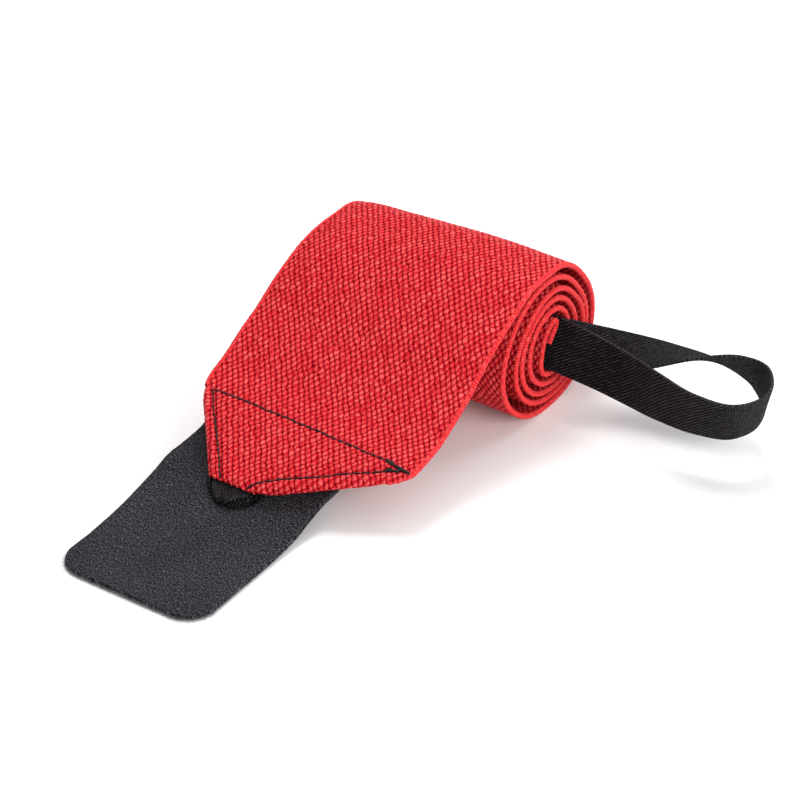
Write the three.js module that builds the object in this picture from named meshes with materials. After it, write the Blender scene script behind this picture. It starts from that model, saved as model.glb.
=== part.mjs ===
// Wrist wrap: a red woven elastic band rolled into a loose coil that lies on its side.
// The outer end runs down in front of the coil to a pointed tip, whose corners are folded under.
// A black hook tab and a fold of black webbing are sewn under the tip.
// A black webbing thumb loop comes out of the coil's core, at the right end.
// X runs along the band's width, the tip points to -Y, and the wrap lies on the plane Z = 0.

import * as THREE from "three";
import { mergeVertices } from "three/addons/utils/BufferGeometryUtils.js";

// Driving dimensions, in millimetres and degrees

// Elastic band
const bandWidth = 76;
const bandThick = 1.7;
const selvedgeChamfer = 0.5;

// Coil, seen from its right end
const coreRadius = 8.3;
const looseGap = 2.0;
const leftTightness = 0.82;
const coreSlip = 1.2;
const hemLead = 15;
const hemBend = 165;
const hemRadius = 1.5;
const hemLength = 5.5;

// Run from the top of the coil to the blunt end of the tip
const runReach = 98.3;

// Pointed tip
const tipLeft = 25.5;
const tipRight = 22.6;
const bluntWidth = 16.6;
const tipCentre = -7.9;
const foldGap = 0.4;
const flapWidth = 26;
const flapGrowth = 0.08;
const foldEnd = 3.5;

// Hook tab
const tabWidth = 50.5;
const tabShift = -0.5;
const tabLength = 77;
const tabThick = 1.8;
const tabOverlap = 27.4;
const tabCorner = 9;
const tabChamfer = 0.4;
const tabSag = 0.5;

// Webbing fold in the tip
const foldTapeWidth = 14.6;
const foldTapeShift = 0.7;
const foldTapeThick = 1.1;
const foldTapeGap = 0.5;
const foldTapeDepth = 7;
const foldTapeNose = 5;
const foldTapeBulge = 1.2;
const foldTapePinch = 0.3;
const noseFollows = 1 / 3;

// Thumb loop
const tapeWidth = 16;
const tapeThick = 1.2;
const tapeChamfer = 0.3;
const loopReach = 65.6;
const loopSpread = 22;
const loopLeg = 19;
const legLean = 26;
const legHigh = 0.3;
const legBack = -0.35;

// Clear space between pieces that touch
const seatGap = 0.3;
const foldTapeRoom = 0.5;

// How finely the surfaces are divided
const stepsPerEighth = 4;
const bendSteps = 4;
const loopSteps = 72;

// Clear space outside each turn of the coil, as shares of looseGap, from the outermost turn inwards.
// The columns go round the coil from its top, down its back, under it and up its front.
const turnGaps = [
  {
    top: 0.66, topBack: 1.12, back: 1.08, lowBack: 0.61, low: 0.53,
    lowFront: 1.45, front: 2.53, topFront: 2.5,
  },
  {
    top: 1.2, topBack: 0.45, back: 0.2, lowBack: 0.5, low: 0.53,
    lowFront: 0.61, front: 0.65, topFront: 0.31,
  },
  {
    top: 0.61, topBack: 0.8, back: 1.55, lowBack: 1.5, low: 0.66,
    lowFront: 0.89, front: 1.07, topFront: 0.68,
  },
  {
    top: 0.73, topBack: 0.95, back: 1.55, lowBack: 1.5, low: 0.92,
    lowFront: 0.83, front: 2.25, topFront: 2.1,
  },
  { top: 0.6 },
];

// Distance of the innermost turn from the coil's axis, as shares of coreRadius.
const coreTurn = {
  topBack: 1.1, back: 0.88, lowBack: 0.9, low: 1.07, lowFront: 1.13, front: 0.9, topFront: 0.95, top: 1.12,
};

// Height of the run's two selvedges, as shares of the height of the coil's top at the same selvedge.
// forward is the share of runReach from the coil's top towards the tip.
const runRows = [
  { forward: 0, right: 1, left: 1 },
  { forward: 0.13, right: 0.987, left: 0.995 },
  { forward: 0.19, right: 0.935, left: 0.978 },
  { forward: 0.25, right: 0.87, left: 0.942 },
  { forward: 0.305, right: 0.81, left: 0.89 },
  { forward: 0.375, right: 0.72, left: 0.812 },
  { forward: 0.463, right: 0.58, left: 0.69 },
  { forward: 0.533, right: 0.494, left: 0.614 },
  { forward: 0.618, right: 0.405, left: 0.507 },
  { forward: 0.685, right: 0.37, left: 0.446 },
  { forward: 0.763, right: 0.342, left: 0.388 },
  { forward: 0.885, right: 0.274, left: 0.29 },
  { forward: 1, right: 0.2, left: 0.213 },
];

// Height of the tab's underside at its two edges, as shares of the height of its seat under the tip.
// forward is the share of tabLength from its sewn edge to its free end.
const tabRows = [
  { forward: 0, right: 2.4, left: 2.4 },
  { forward: 0.05, right: 1.7, left: 1.95 },
  { forward: 0.1, right: 1.15, left: 1.42 },
  { forward: 0.225, right: 0.93, left: 1.25 },
  { forward: 0.317, right: 0.6, left: 1.2 },
  { forward: 0.4, right: 0.25, left: 0.86 },
  { forward: 0.5, right: 0.08, left: 0.54 },
  { forward: 0.6, right: 0, left: 0.27 },
  { forward: 0.72, right: 0, left: 0.08 },
  { forward: 0.82, right: 0, left: 0 },
  { forward: 1, right: 0, left: 0 },
];

// Middle line of the thumb loop outside the coil, from the front leg round the bend to the back leg.
// out is a share of loopReach, back a share of loopSpread, rise a share of tapeWidth from the legs'
// place in the core. lean is the tape's turn about its own line in degrees, 0 where it stands upright.
const loopRows = [
  { out: 0, back: 0, rise: 0, lean: -26 },
  { out: 0.21, back: 0.05, rise: -0.15, lean: -16 },
  { out: 0.4, back: -0.03, rise: -0.2, lean: -9 },
  { out: 0.575, back: -0.2, rise: -0.15, lean: -1 },
  { out: 0.765, back: -0.28, rise: -0.16, lean: 11 },
  { out: 0.93, back: -0.13, rise: -0.2, lean: 19 },
  { out: 1, back: 0.27, rise: -0.15, lean: 17 },
  { out: 0.95, back: 0.66, rise: -0.03, lean: -1 },
  { out: 0.82, back: 0.81, rise: 0.05, lean: -29 },
  { out: 0.635, back: 0.8, rise: 0.02, lean: -58 },
  { out: 0.42, back: 0.68, rise: -0.11, lean: -85 },
  { out: 0.18, back: 0.4, rise: -0.17, lean: -118 },
  { out: 0, back: 0, rise: 0, lean: -154 },
];

// Colours and surfaces
const redElastic = new THREE.MeshStandardMaterial({ color: 0xe0343c, roughness: 0.85, metalness: 0 });
const blackPlush = new THREE.MeshStandardMaterial({ color: 0x1d1c1f, roughness: 0.95, metalness: 0 });
const blackTape = new THREE.MeshStandardMaterial({ color: 0x161618, roughness: 0.7, metalness: 0 });

const eighths = ["top", "topBack", "back", "lowBack", "low", "lowFront", "front", "topFront"];
const eighthTurn = 360 / eighths.length;
const radians = Math.PI / 180;
const mix = (a, b, t) => a + (b - a) * t;

// Cubic through four evenly spaced values, between the middle two.
function cubic(before, start, end, after, t) {
  const startSlope = (end - before) / 2;
  const endSlope = (after - start) / 2;
  const square = t * t;
  const cube = square * t;
  return start * (2 * cube - 3 * square + 1) + startSlope * (cube - 2 * square + t)
    + end * (3 * square - 2 * cube) + endSlope * (cube - square);
}

// Value of a table's column at a place given in its forward column, on a smooth curve.
function fromRows(rows, column, forward) {
  const found = rows.findIndex((row) => row.forward >= forward);
  const index = found < 0 ? rows.length - 1 : Math.max(found, 1);
  const start = rows[index - 1];
  const end = rows[index];
  const before = rows[index - 2] ?? start;
  const after = rows[index + 1] ?? end;
  const span = end.forward - start.forward;
  const t = (forward - start.forward) / span;
  const startSlope = (end[column] - before[column]) / (end.forward - before.forward);
  const endSlope = (after[column] - start[column]) / (after.forward - start.forward);
  const square = t * t;
  const cube = square * t;
  return start[column] * (2 * cube - 3 * square + 1) + startSlope * span * (cube - 2 * square + t)
    + end[column] * (3 * square - 2 * cube) + endSlope * span * (cube - square);
}

// Closed solid through rings of equal count. A ring holds one side of a folded sheet from left to
// right and then its other side from right to left, so its ends close as a ladder between the sides.
function loft(rings) {
  const count = rings[0].length;
  const half = count / 2;
  const positions = rings.flat().flatMap((point) => [point.x, point.y, point.z]);
  const faces = [];
  for (let ring = 0; ring + 1 < rings.length; ring += 1) {
    for (let i = 0; i < count; i += 1) {
      const a = ring * count + i;
      const b = ring * count + ((i + 1) % count);
      faces.push([a, a + count, b], [b, a + count, b + count]);
    }
  }
  const last = (rings.length - 1) * count;
  for (let i = 0; i + 1 < half; i += 1) {
    const near = count - 1 - i;
    faces.push([i, i + 1, near], [i + 1, near - 1, near]);
    faces.push([last + i, last + near, last + i + 1], [last + i + 1, last + near, last + near - 1]);
  }
  const loose = new THREE.BufferGeometry();
  loose.setAttribute("position", new THREE.Float32BufferAttribute(positions, 3));
  loose.setIndex(faces.flat());
  const merged = mergeVertices(loose, 1e-4);
  const old = merged.index.array;
  const kept = [];
  for (let i = 0; i < old.length; i += 3) {
    const [a, b, c] = [old[i], old[i + 1], old[i + 2]];
    if (a !== b && b !== c && c !== a) {
      kept.push(a, b, c);
    }
  }
  merged.setIndex(kept);
  merged.computeVertexNormals();
  return merged;
}

// One selvedge of the coil: knots of its distance from the axis at every eighth of a turn, from the
// outer end inwards. Each turn is the next one's radius, the band's thickness and the gap in between.
function coilKnots(gap) {
  const innerStart = turnGaps.length * eighths.length - eighths.length;
  const knots = [];
  for (let knot = innerStart + 1; knot <= innerStart + eighths.length; knot += 1) {
    knots[knot] = coreTurn[eighths[knot % eighths.length]] * coreRadius;
  }
  for (let knot = innerStart; knot >= 0; knot -= 1) {
    const row = turnGaps[Math.floor(knot / eighths.length)];
    knots[knot] = knots[knot + eighths.length] + bandThick + row[eighths[knot % eighths.length]] * gap;
  }
  return knots;
}

// Distance from the axis at a place counted in eighths of a turn from the coil's top inwards.
function coilRadius(knots, place) {
  const index = Math.min(Math.floor(place), knots.length - 2);
  const before = knots[index - 1] ?? knots[index + 1];
  const after = knots[index + 2] ?? knots[index + 1];
  return cubic(before, knots[index], knots[index + 1], after, place - index);
}

// Points { y, z } of one selvedge's middle line, from the coil's top inwards to the hem's free edge.
// The axis stands as high as the coil's lowest point needs to touch Z = 0.
function coilLine(gap) {
  const knots = coilKnots(gap);
  const endPlace = knots.length - 1 - hemLead / eighthTurn;
  const steps = Math.round(endPlace * stepsPerEighth);
  const line = [];
  for (let step = 0; step <= steps; step += 1) {
    const place = (endPlace * step) / steps;
    const angle = place * eighthTurn * radians;
    const radius = coilRadius(knots, place);
    line.push({ y: radius * Math.sin(angle), z: radius * Math.cos(angle) });
  }
  const end = line[line.length - 1];
  const previous = line[line.length - 2];
  const heading = Math.atan2(end.z - previous.z, end.y - previous.y);
  const bendCentre = {
    y: end.y + hemRadius * Math.sin(heading),
    z: end.z - hemRadius * Math.cos(heading),
  };
  const hemSteps = bendSteps * 2;
  for (let step = 1; step <= hemSteps; step += 1) {
    const turned = heading - (hemBend * radians * step) / hemSteps;
    line.push({
      y: bendCentre.y - hemRadius * Math.sin(turned),
      z: bendCentre.z + hemRadius * Math.cos(turned),
    });
  }
  const bendEnd = line[line.length - 1];
  const back = heading - hemBend * radians;
  line.push({ y: bendEnd.y + hemLength * Math.cos(back), z: bendEnd.z + hemLength * Math.sin(back) });
  const axisHigh = bandThick / 2 - Math.min(...line.map((point) => point.z));
  const placed = line.map((point) => ({ y: point.y, z: point.z + axisHigh }));
  return { points: placed, axisHigh };
}

const rightLine = coilLine(looseGap);
const leftLine = coilLine(looseGap * leftTightness);

// Height of the run's middle layer at a place across the band and a distance forward of the coil's top.
function runHeight(x, forward) {
  const share = forward / runReach;
  const right = fromRows(runRows, "right", share) * rightLine.points[0].z;
  const left = fromRows(runRows, "left", share) * leftLine.points[0].z;
  return mix(left, right, x / bandWidth + 0.5);
}

// Point of the run at a height above or below its middle layer, square to its slope.
function runPoint(x, forward, above) {
  const probe = 0.5;
  const slope = (runHeight(x, forward + probe) - runHeight(x, forward - probe)) / (2 * probe);
  const length = Math.hypot(1, slope);
  const y = -forward - (-slope * above) / length;
  return new THREE.Vector3(x, y, runHeight(x, forward) + above / length);
}

// Section of the band across its width, as pairs [x, height above the middle layer].
// Each side of the sheet goes from the left flap's edge, round the left fold, over the top layer,
// round the right fold and to the right flap's edge. Where there is no fold yet, the fold's points
// lie together on the selvedge.
function bandSection(forward) {
  const half = bandWidth / 2;
  const ends = [
    { side: -1, start: runReach - tipLeft, blunt: tipCentre - bluntWidth / 2 },
    { side: 1, start: runReach - tipRight, blunt: tipCentre + bluntWidth / 2 },
  ];
  const outer = [];
  const inner = [];
  for (const { side, start, blunt } of ends) {
    const sideOuter = [];
    const sideInner = [];
    const along = (forward - start) / (runReach - start);
    const edge = mix(side * half, blunt, Math.max(along, 0));
    if (along <= 1e-6 || forward > runReach - foldEnd) {
      sideOuter.push([edge - side * selvedgeChamfer, bandThick / 2]);
      sideInner.push([edge - side * selvedgeChamfer, -bandThick / 2]);
      for (let i = 0; i < bendSteps + 1; i += 1) {
        sideOuter.push([edge, 0]);
        sideInner.push([edge, 0]);
      }
    } else {
      const slant = Math.hypot(half * side - blunt, runReach - start) / (runReach - start);
      const outerRadius = bandThick + foldGap / 2;
      const centre = edge - side * outerRadius * slant;
      const centreHigh = -(bandThick + foldGap) / 2;
      const turnedUnder = flapWidth * Math.min(along / flapGrowth, 1 - along);
      const width = Math.max(turnedUnder - outerRadius * slant, bandThick / 4);
      for (let i = 0; i <= bendSteps; i += 1) {
        const angle = Math.PI / 2 - (Math.PI * i) / bendSteps;
        const reach = side * slant * Math.cos(angle);
        sideOuter.push([centre + reach * outerRadius, centreHigh + outerRadius * Math.sin(angle)]);
        sideInner.push([centre + (reach * foldGap) / 2, centreHigh + (foldGap / 2) * Math.sin(angle)]);
      }
      sideOuter.push([centre - side * width, centreHigh - outerRadius]);
      sideInner.push([centre - side * width, centreHigh - foldGap / 2]);
    }
    if (side < 0) {
      sideOuter.reverse();
      sideInner.reverse();
    }
    outer.push(...sideOuter);
    inner.push(...sideInner);
  }
  return [...outer, ...inner.reverse()];
}

// Rings of the coil and the hem: the plain section carried along both selvedges' lines at once.
function coilRings() {
  const section = bandSection(0);
  const count = rightLine.points.length;
  const rings = [];
  for (let index = count - 1; index > 0; index -= 1) {
    const next = Math.min(index + 1, count - 1);
    const slip = coreSlip * (index / count) ** 2;
    const normals = [leftLine, rightLine].map((line) => {
      const dy = line.points[next].y - line.points[index - 1].y;
      const dz = line.points[next].z - line.points[index - 1].z;
      const length = Math.hypot(dy, dz);
      return { y: -dz / length, z: dy / length };
    });
    rings.push(section.map(([x, above]) => {
      const across = x / bandWidth + 0.5;
      const y = mix(leftLine.points[index].y, rightLine.points[index].y, across);
      const z = mix(leftLine.points[index].z, rightLine.points[index].z, across);
      const ny = mix(normals[0].y, normals[1].y, across);
      const nz = mix(normals[0].z, normals[1].z, across);
      return new THREE.Vector3(x + slip, y + ny * above, z + nz * above);
    }));
  }
  return rings;
}

// Rings of the run and the tip, closer together where the corners are folded.
function runRings() {
  const places = [];
  const plainSteps = 26;
  const closeStep = 1.2;
  const plainEnd = runReach - tipLeft;
  const rightCorner = runReach - tipRight;
  for (let step = 0; step <= plainSteps; step += 1) {
    places.push((plainEnd * step) / plainSteps);
  }
  places.push(plainEnd + closeStep, rightCorner, rightCorner + closeStep);
  const foldSteps = 10;
  const foldStart = rightCorner + 2 * closeStep;
  for (let step = 0; step <= foldSteps; step += 1) {
    places.push(mix(foldStart, runReach - foldEnd, step / foldSteps));
  }
  places.push(runReach - foldEnd * 0.8, runReach - foldEnd * 0.4, runReach);
  return places.map((forward) =>
    bandSection(forward).map(([x, above]) => runPoint(x, forward, above)));
}

const elasticBand = new THREE.Mesh(loft([...coilRings(), ...runRings()]), redElastic);
elasticBand.name = "elastic_band";

// Webbing fold in the tip: two layers under the band's top layer, with a round nose that stands out.
const foldTapeCentre = tipCentre + foldTapeShift;
const tapeStack = 2 * foldTapeThick + foldTapeGap;
const upperTape = -bandThick / 2 - seatGap - foldTapeThick / 2;
const lowerTape = upperTape - foldTapeThick - foldTapeGap;

// Middle and radius of the nose, whose top is level with the tape's upper layer where that comes out.
function foldTapeNoseShape() {
  const middle = runHeight(foldTapeCentre, runReach);
  const slope = middle - runHeight(foldTapeCentre, runReach - 1);
  const radius = foldTapeBulge + foldTapeThick / 2;
  const top = middle - bandThick / 2 - seatGap + slope * foldTapeNose * noseFollows;
  return { y: -runReach - foldTapeNose + radius, z: top - radius, radius };
}

// Middle line of the webbing fold: out under the tip, round the nose, and back in below itself.
function foldTapeLine() {
  const nose = foldTapeNoseShape();
  const points = [];
  for (const forward of [runReach - foldTapeDepth, runReach - foldTapeDepth / 2, runReach]) {
    const place = runPoint(foldTapeCentre, forward, upperTape);
    points.push(new THREE.Vector3(0, place.y, place.z));
  }
  for (const angle of [60, 20, -20, -60]) {
    const y = nose.y - foldTapeBulge * Math.cos(angle * radians);
    points.push(new THREE.Vector3(0, y, nose.z + foldTapeBulge * Math.sin(angle * radians)));
  }
  for (const forward of [runReach, runReach - foldTapeDepth / 2, runReach - foldTapeDepth]) {
    const place = runPoint(foldTapeCentre, forward, lowerTape);
    points.push(new THREE.Vector3(0, place.y, place.z));
  }
  return new THREE.CatmullRomCurve3(points, false, "centripetal");
}

// Flat tape carried along a line: two sides of three points and chamfered edges.
function tapeRing(centre, width, normal, wide, thick, chamfer) {
  const at = (across, above) =>
    centre.clone().addScaledVector(width, across).addScaledVector(normal, above);
  return [
    at(-wide / 2, 0),
    at(-wide / 2 + chamfer, thick / 2),
    at(wide / 2 - chamfer, thick / 2),
    at(wide / 2, 0),
    at(wide / 2, 0),
    at(wide / 2 - chamfer, -thick / 2),
    at(-wide / 2 + chamfer, -thick / 2),
    at(-wide / 2, 0),
  ];
}

function makeTipWebbing() {
  const line = foldTapeLine();
  const steps = 30;
  const across = new THREE.Vector3(1, 0, 0);
  const rings = [];
  for (let step = 0; step <= steps; step += 1) {
    const centre = line.getPointAt(step / steps);
    const tangent = line.getTangentAt(step / steps);
    const normal = new THREE.Vector3().crossVectors(tangent, across).normalize();
    centre.x = foldTapeCentre;
    const out = Math.min(Math.max((-centre.y - runReach) / foldTapeNose, 0), 1);
    const wide = foldTapeWidth * (1 - foldTapePinch * out);
    rings.push(tapeRing(centre, across, normal, wide, foldTapeThick, foldTapeThick / 4));
  }
  const mesh = new THREE.Mesh(loft(rings), blackTape);
  mesh.name = "tip_webbing";
  return mesh;
}

// Height of the underside of the corners folded under the tip.
function flapUnder(x, forward) {
  return runHeight(x, forward) - bandThick * 1.5 - foldGap;
}

// Height of what lies over the tab: the webbing fold in its middle, the flaps beside it.
function seatHeight(x, forward) {
  const flap = flapUnder(x, Math.min(forward, runReach - foldEnd));
  const tape = runHeight(x, Math.min(forward, runReach)) - bandThick / 2 - seatGap - tapeStack;
  const nose = foldTapeNoseShape();
  const lowest = forward > runReach - foldEnd ? Math.min(tape, nose.z - nose.radius) : tape;
  const underTape = Math.abs(x - foldTapeCentre) < foldTapeWidth / 2 + foldTapeRoom;
  return Math.min(flap - seatGap, underTape ? lowest - foldTapeRoom : flap);
}

const tabCentre = tipCentre + tabShift;

// Height of the tab's top face: its table, kept under the tip for as far as the tip reaches.
function tabTop(x, along) {
  const share = along / tabLength;
  const seat = flapUnder(tipCentre, runReach - foldEnd) - seatGap - tabThick;
  const right = fromRows(tabRows, "right", share) * seat;
  const left = fromRows(tabRows, "left", share) * seat;
  const across = (x - tabCentre) / tabWidth + 0.5;
  const lifted = Math.min(Math.max((left + right) / 2 / seat, 0), 1);
  const sag = tabSag * lifted * 4 * across * (1 - across);
  const free = Math.max(mix(left, right, across) - sag, 0) + tabThick;
  const forward = runReach - tabOverlap + along;
  return forward < runReach + foldTapeNose ? Math.min(free, seatHeight(x, forward)) : free;
}

// Hook tab: a flat sheet with two rounded corners at its free end.
function makeHookTab() {
  const columns = 8;
  const places = [];
  const plainSteps = 22;
  for (let step = 0; step <= plainSteps; step += 1) {
    places.push(((tabLength - tabCorner) * step) / plainSteps);
  }
  for (const angle of [18, 36, 54, 70, 82]) {
    places.push(tabLength - tabCorner + tabCorner * Math.sin(angle * radians));
  }
  places.push(tabLength);
  const rings = places.map((along) => {
    const past = Math.max(along - (tabLength - tabCorner), 0);
    const inset = tabCorner - Math.sqrt(Math.max(tabCorner ** 2 - past ** 2, 0));
    const half = tabWidth / 2 - inset;
    const y = -(runReach - tabOverlap + along);
    const upper = [];
    const lower = [];
    for (let column = 0; column <= columns; column += 1) {
      const edge = column === 0 || column === columns;
      const x = tabCentre + mix(-half + tabChamfer, half - tabChamfer, column / columns);
      const top = tabTop(x, along);
      if (edge) {
        const outer = tabCentre + (column === 0 ? -half : half);
        const middle = new THREE.Vector3(outer, y, top - tabThick / 2);
        const chamfered = [new THREE.Vector3(x, y, top), new THREE.Vector3(x, y, top - tabThick)];
        upper.push(...(column === 0 ? [middle, chamfered[0]] : [chamfered[0], middle]));
        lower.push(...(column === 0 ? [middle, chamfered[1]] : [chamfered[1], middle]));
      } else {
        upper.push(new THREE.Vector3(x, y, top));
        lower.push(new THREE.Vector3(x, y, top - tabThick));
      }
    }
    return [...upper, ...lower.reverse()];
  });
  const mesh = new THREE.Mesh(loft(rings), blackPlush);
  mesh.name = "hook_tab";
  return mesh;
}

// Thumb loop: one length of tape whose two legs lie against each other in the core.
function makeThumbLoop() {
  const end = bandWidth / 2 + coreSlip;
  const lean = legLean * radians;
  const core = new THREE.Vector3(end, legBack, rightLine.axisHigh + legHigh);
  const apart = new THREE.Vector3(0, Math.cos(lean), -Math.sin(lean)).multiplyScalar(tapeThick + seatGap);
  const half = loopRows.length - 1;
  const points = loopRows.map((row, index) => {
    const point = core.clone().addScaledVector(apart, index / half);
    return point.add(new THREE.Vector3(row.out * loopReach, row.back * loopSpread, row.rise * tapeWidth));
  });
  const legs = [1, 2 / 3, 1 / 3].map((share) => new THREE.Vector3(-share * loopLeg, 0, 0));
  const front = legs.map((leg) => points[0].clone().add(leg));
  const back = legs.map((leg) => points[half].clone().add(leg)).reverse();
  const line = new THREE.CatmullRomCurve3([...front, ...points, ...back], false, "centripetal");
  line.arcLengthDivisions = 2000;
  const knots = [...front.map(() => loopRows[0]), ...loopRows, ...back.map(() => loopRows[half])];
  const up = new THREE.Vector3(0, 0, 1);
  const rings = [];
  for (let step = 0; step <= loopSteps; step += 1) {
    const t = line.getUtoTmapping(step / loopSteps);
    const place = t * (knots.length - 1);
    const index = Math.min(Math.floor(place), knots.length - 2);
    const around = [index - 1, index, index + 1, index + 2]
      .map((knot) => knots[Math.min(Math.max(knot, 0), knots.length - 1)].lean);
    const turn = cubic(...around, place - index) * radians;
    const tangent = line.getTangent(t);
    const upright = up.clone().addScaledVector(tangent, -tangent.dot(up)).normalize();
    const side = new THREE.Vector3().crossVectors(tangent, upright);
    const width = upright.multiplyScalar(Math.cos(turn)).addScaledVector(side, Math.sin(turn));
    const normal = new THREE.Vector3().crossVectors(tangent, width);
    rings.push(tapeRing(line.getPoint(t), width, normal, tapeWidth, tapeThick, tapeChamfer));
  }
  const mesh = new THREE.Mesh(loft(rings), blackTape);
  mesh.name = "thumb_loop";
  return mesh;
}

// The whole wrap, with its origin under the middle of its box.
const wristWrap = new THREE.Group();
wristWrap.name = "wrist_wrap";
wristWrap.add(elasticBand, makeHookTab(), makeTipWebbing(), makeThumbLoop());
const box = new THREE.Box3().setFromObject(wristWrap, true);
wristWrap.position.set(-(box.min.x + box.max.x) / 2, -(box.min.y + box.max.y) / 2, -box.min.z);

export default wristWrap;
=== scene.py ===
# Wrist wrap: red woven elastic rolled into a loose coil, its folded tip sewn to a black hook tab,
# and a black webbing thumb loop out of the coil's core.
# Shapes are worked out in millimetres, in the wrap's own frame: x across the band, y from the tip to
# the coil's axis at y = 0, z up from the floor. putPiece moves them into the CAD frame.

import math

import bpy
import numpy as np
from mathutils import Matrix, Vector


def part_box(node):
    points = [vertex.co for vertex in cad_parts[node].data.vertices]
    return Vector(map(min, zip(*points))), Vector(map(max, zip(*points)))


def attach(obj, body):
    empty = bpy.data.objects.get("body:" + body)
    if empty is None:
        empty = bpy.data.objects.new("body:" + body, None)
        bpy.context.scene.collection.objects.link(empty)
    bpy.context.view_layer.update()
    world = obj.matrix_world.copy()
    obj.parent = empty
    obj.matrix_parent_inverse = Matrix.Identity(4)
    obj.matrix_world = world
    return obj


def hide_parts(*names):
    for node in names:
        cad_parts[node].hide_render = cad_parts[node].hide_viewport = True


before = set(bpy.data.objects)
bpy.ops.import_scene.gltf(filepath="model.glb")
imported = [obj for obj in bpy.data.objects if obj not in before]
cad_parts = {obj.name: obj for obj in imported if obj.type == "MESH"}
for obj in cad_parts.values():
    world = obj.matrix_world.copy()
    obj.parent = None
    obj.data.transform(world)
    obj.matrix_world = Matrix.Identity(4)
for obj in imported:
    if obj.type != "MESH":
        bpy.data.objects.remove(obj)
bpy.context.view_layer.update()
mm = 0.001

band = {
    "width": 76.0,
    "thick": 1.7,
    "cellWide": 2.0,      # one repeat of the weave across the band
    "cellLong": 2.8,      # and along it
    "relief": 0.28,       # how far the weave's knots stand out
    "wander": 0.085,      # how far a knot strays, in repeats
}

coil = {
    "coreRadius": 8.3,
    "looseGap": 2.0,
    "leftTightness": 0.82,  # the left end's gaps as a share of the right end's
    "coreSlip": 1.2,      # how far the core has slipped out to the right
    "hemLead": 15.0,      # degrees that the last turn stops short of the top
    "hemBend": 165.0,     # degrees that the hem turns back
    "hemRadius": 1.5,
    "hemLength": 5.5,
}

run = {"reach": 98.3}     # from the coil's axis to the blunt end

tip = {
    "left": 25.5,         # how far back from the blunt end the left fold starts
    "right": 22.6,
    "bluntWidth": 16.6,
    "centre": -7.9,       # x of the blunt end's middle
    "foldGap": 0.4,       # between the band and a flap under it
    "flapWidth": 26.0,
    "flapGrowth": 0.08,   # share of the fold in which the flap gets its full width
    "foldEnd": 3.5,       # the flaps are thin past this distance from the blunt end
    "puff": 0.6,          # how far the folded edges swell
    "puffWide": 2.3,
    "puffFrom": 0.9,      # a roll's radius where it starts to swell
    "puffTo": 1.9,        # and where it swells fully
    "openKnots": 0.7,     # how much more the knots stand out there
    "grooveWide": 0.85,   # of the dip beside a line of stitches
    "cornerRound": 5.0,
    "rollStart": 7.0,     # length in which a roll grows from the fold's corner
    "rollStartThin": 0.5,  # the share of its radius that it has there
    "rollEnd": 3.0,       # and thins out at the blunt end
    "rollEndThin": 0.35,
    "rollTaken": 0.85,    # share of a roll's length that the flat cloth's pattern takes
    "endRound": 0.6,
    "endLong": 1.6,       # length in which the cut end rounds off
}

tab = {
    "width": 50.5,
    "shift": -0.5,        # from the middle of the tip's blunt end
    "length": 77.0,
    "thick": 1.8,
    "overlap": 27.4,      # length that lies under the tip
    "corner": 9.0,        # radius
    "sag": 0.5,           # of its middle between its edges
    "seatGap": 0.3,       # to what is sewn to it
    "tapeClear": 0.5,     # and more than that to the webbing fold
    "limitRound": 0.5,    # how softly what lies on the tab presses it down
    "freeRound": 0.8,
    "rows": (110, 36),    # points along it, up to its corners and round them
    "columns": (96, 48),  # points across its top and its underside
    "seam": 0.5,          # length in which its free end thins to an edge
    "nap": 0.035,         # how uneven its top is
    "napHighest": 0.05,
}

foldTape = {
    "width": 14.6,
    "shift": 0.7,         # from the middle of the tip's blunt end
    "thick": 1.1,
    "gap": 0.5,           # between its two layers
    "depth": 7.0,         # how far it reaches in under the tip
    "nose": 5.0,          # how far it stands out of the tip
    "bulge": 1.2,         # radius of its fold at the nose
    "lean": 1.2,          # how far to the left what shows of it lies
    "narrow": 0.9,        # share of the width that shows past the tip
    "pinch": 0.3,         # how much narrower it gets on the way out
    "dome": 0.95,         # how round its outline is
    "ribWide": 0.78,
    "ribHigh": 0.16,
    "ribFloat": 1.4,      # length of one float of the shader's weave
    "bump": 0.0002,
}

thumb = {
    "width": 16.0,
    "thick": 1.2,
    "reach": 65.6,        # how far it stands out of the coil
    "spread": 22.0,
    "leg": 19.0,          # length of its legs in the core
    "lean": 26.0,         # degrees that its legs lean where they come out
    "high": 0.3,          # its place there, counted from the coil's axis
    "back": -0.35,
    "twillWide": 0.9,     # from one twill rib to the next
    "twillAngle": 39.0,   # of the ribs to the tape's length
    "twillHigh": 0.15,
    "twillFloat": 0.9,    # length of one float along a rib
    "bump": 0.00035,
}

# Middle line of the thumb loop from the front leg round to the back leg: out as a share of its reach,
# back as a share of its spread, rise as a share of its width, and the tape's lean in degrees.
loopRows = [
    [0, 0, 0, -26],
    [0.21, 0.05, -0.15, -16],
    [0.4, -0.03, -0.2, -9],
    [0.575, -0.2, -0.15, -1],
    [0.765, -0.28, -0.16, 11],
    [0.93, -0.13, -0.2, 19],
    [1, 0.27, -0.15, 17],
    [0.95, 0.66, -0.03, -1],
    [0.82, 0.81, 0.05, -29],
    [0.635, 0.8, 0.02, -58],
    [0.42, 0.68, -0.11, -85],
    [0.18, 0.4, -0.17, -118],
    [0, 0, 0, -154],
]

# Clear space outside each turn as shares of looseGap, from the outermost turn inwards. The columns go
# round from the top: top, top back, back, low back, low, low front, front, top front.
turnGaps = [
    [0.66, 1.12, 1.08, 0.61, 0.53, 1.45, 2.53, 2.5],
    [1.2, 0.45, 0.2, 0.5, 0.53, 0.61, 0.65, 0.31],
    [0.61, 0.8, 1.55, 1.5, 0.66, 0.89, 1.07, 0.68],
    [0.73, 0.95, 1.55, 1.5, 0.92, 0.83, 2.25, 2.1],
    [0.6],
]

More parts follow.
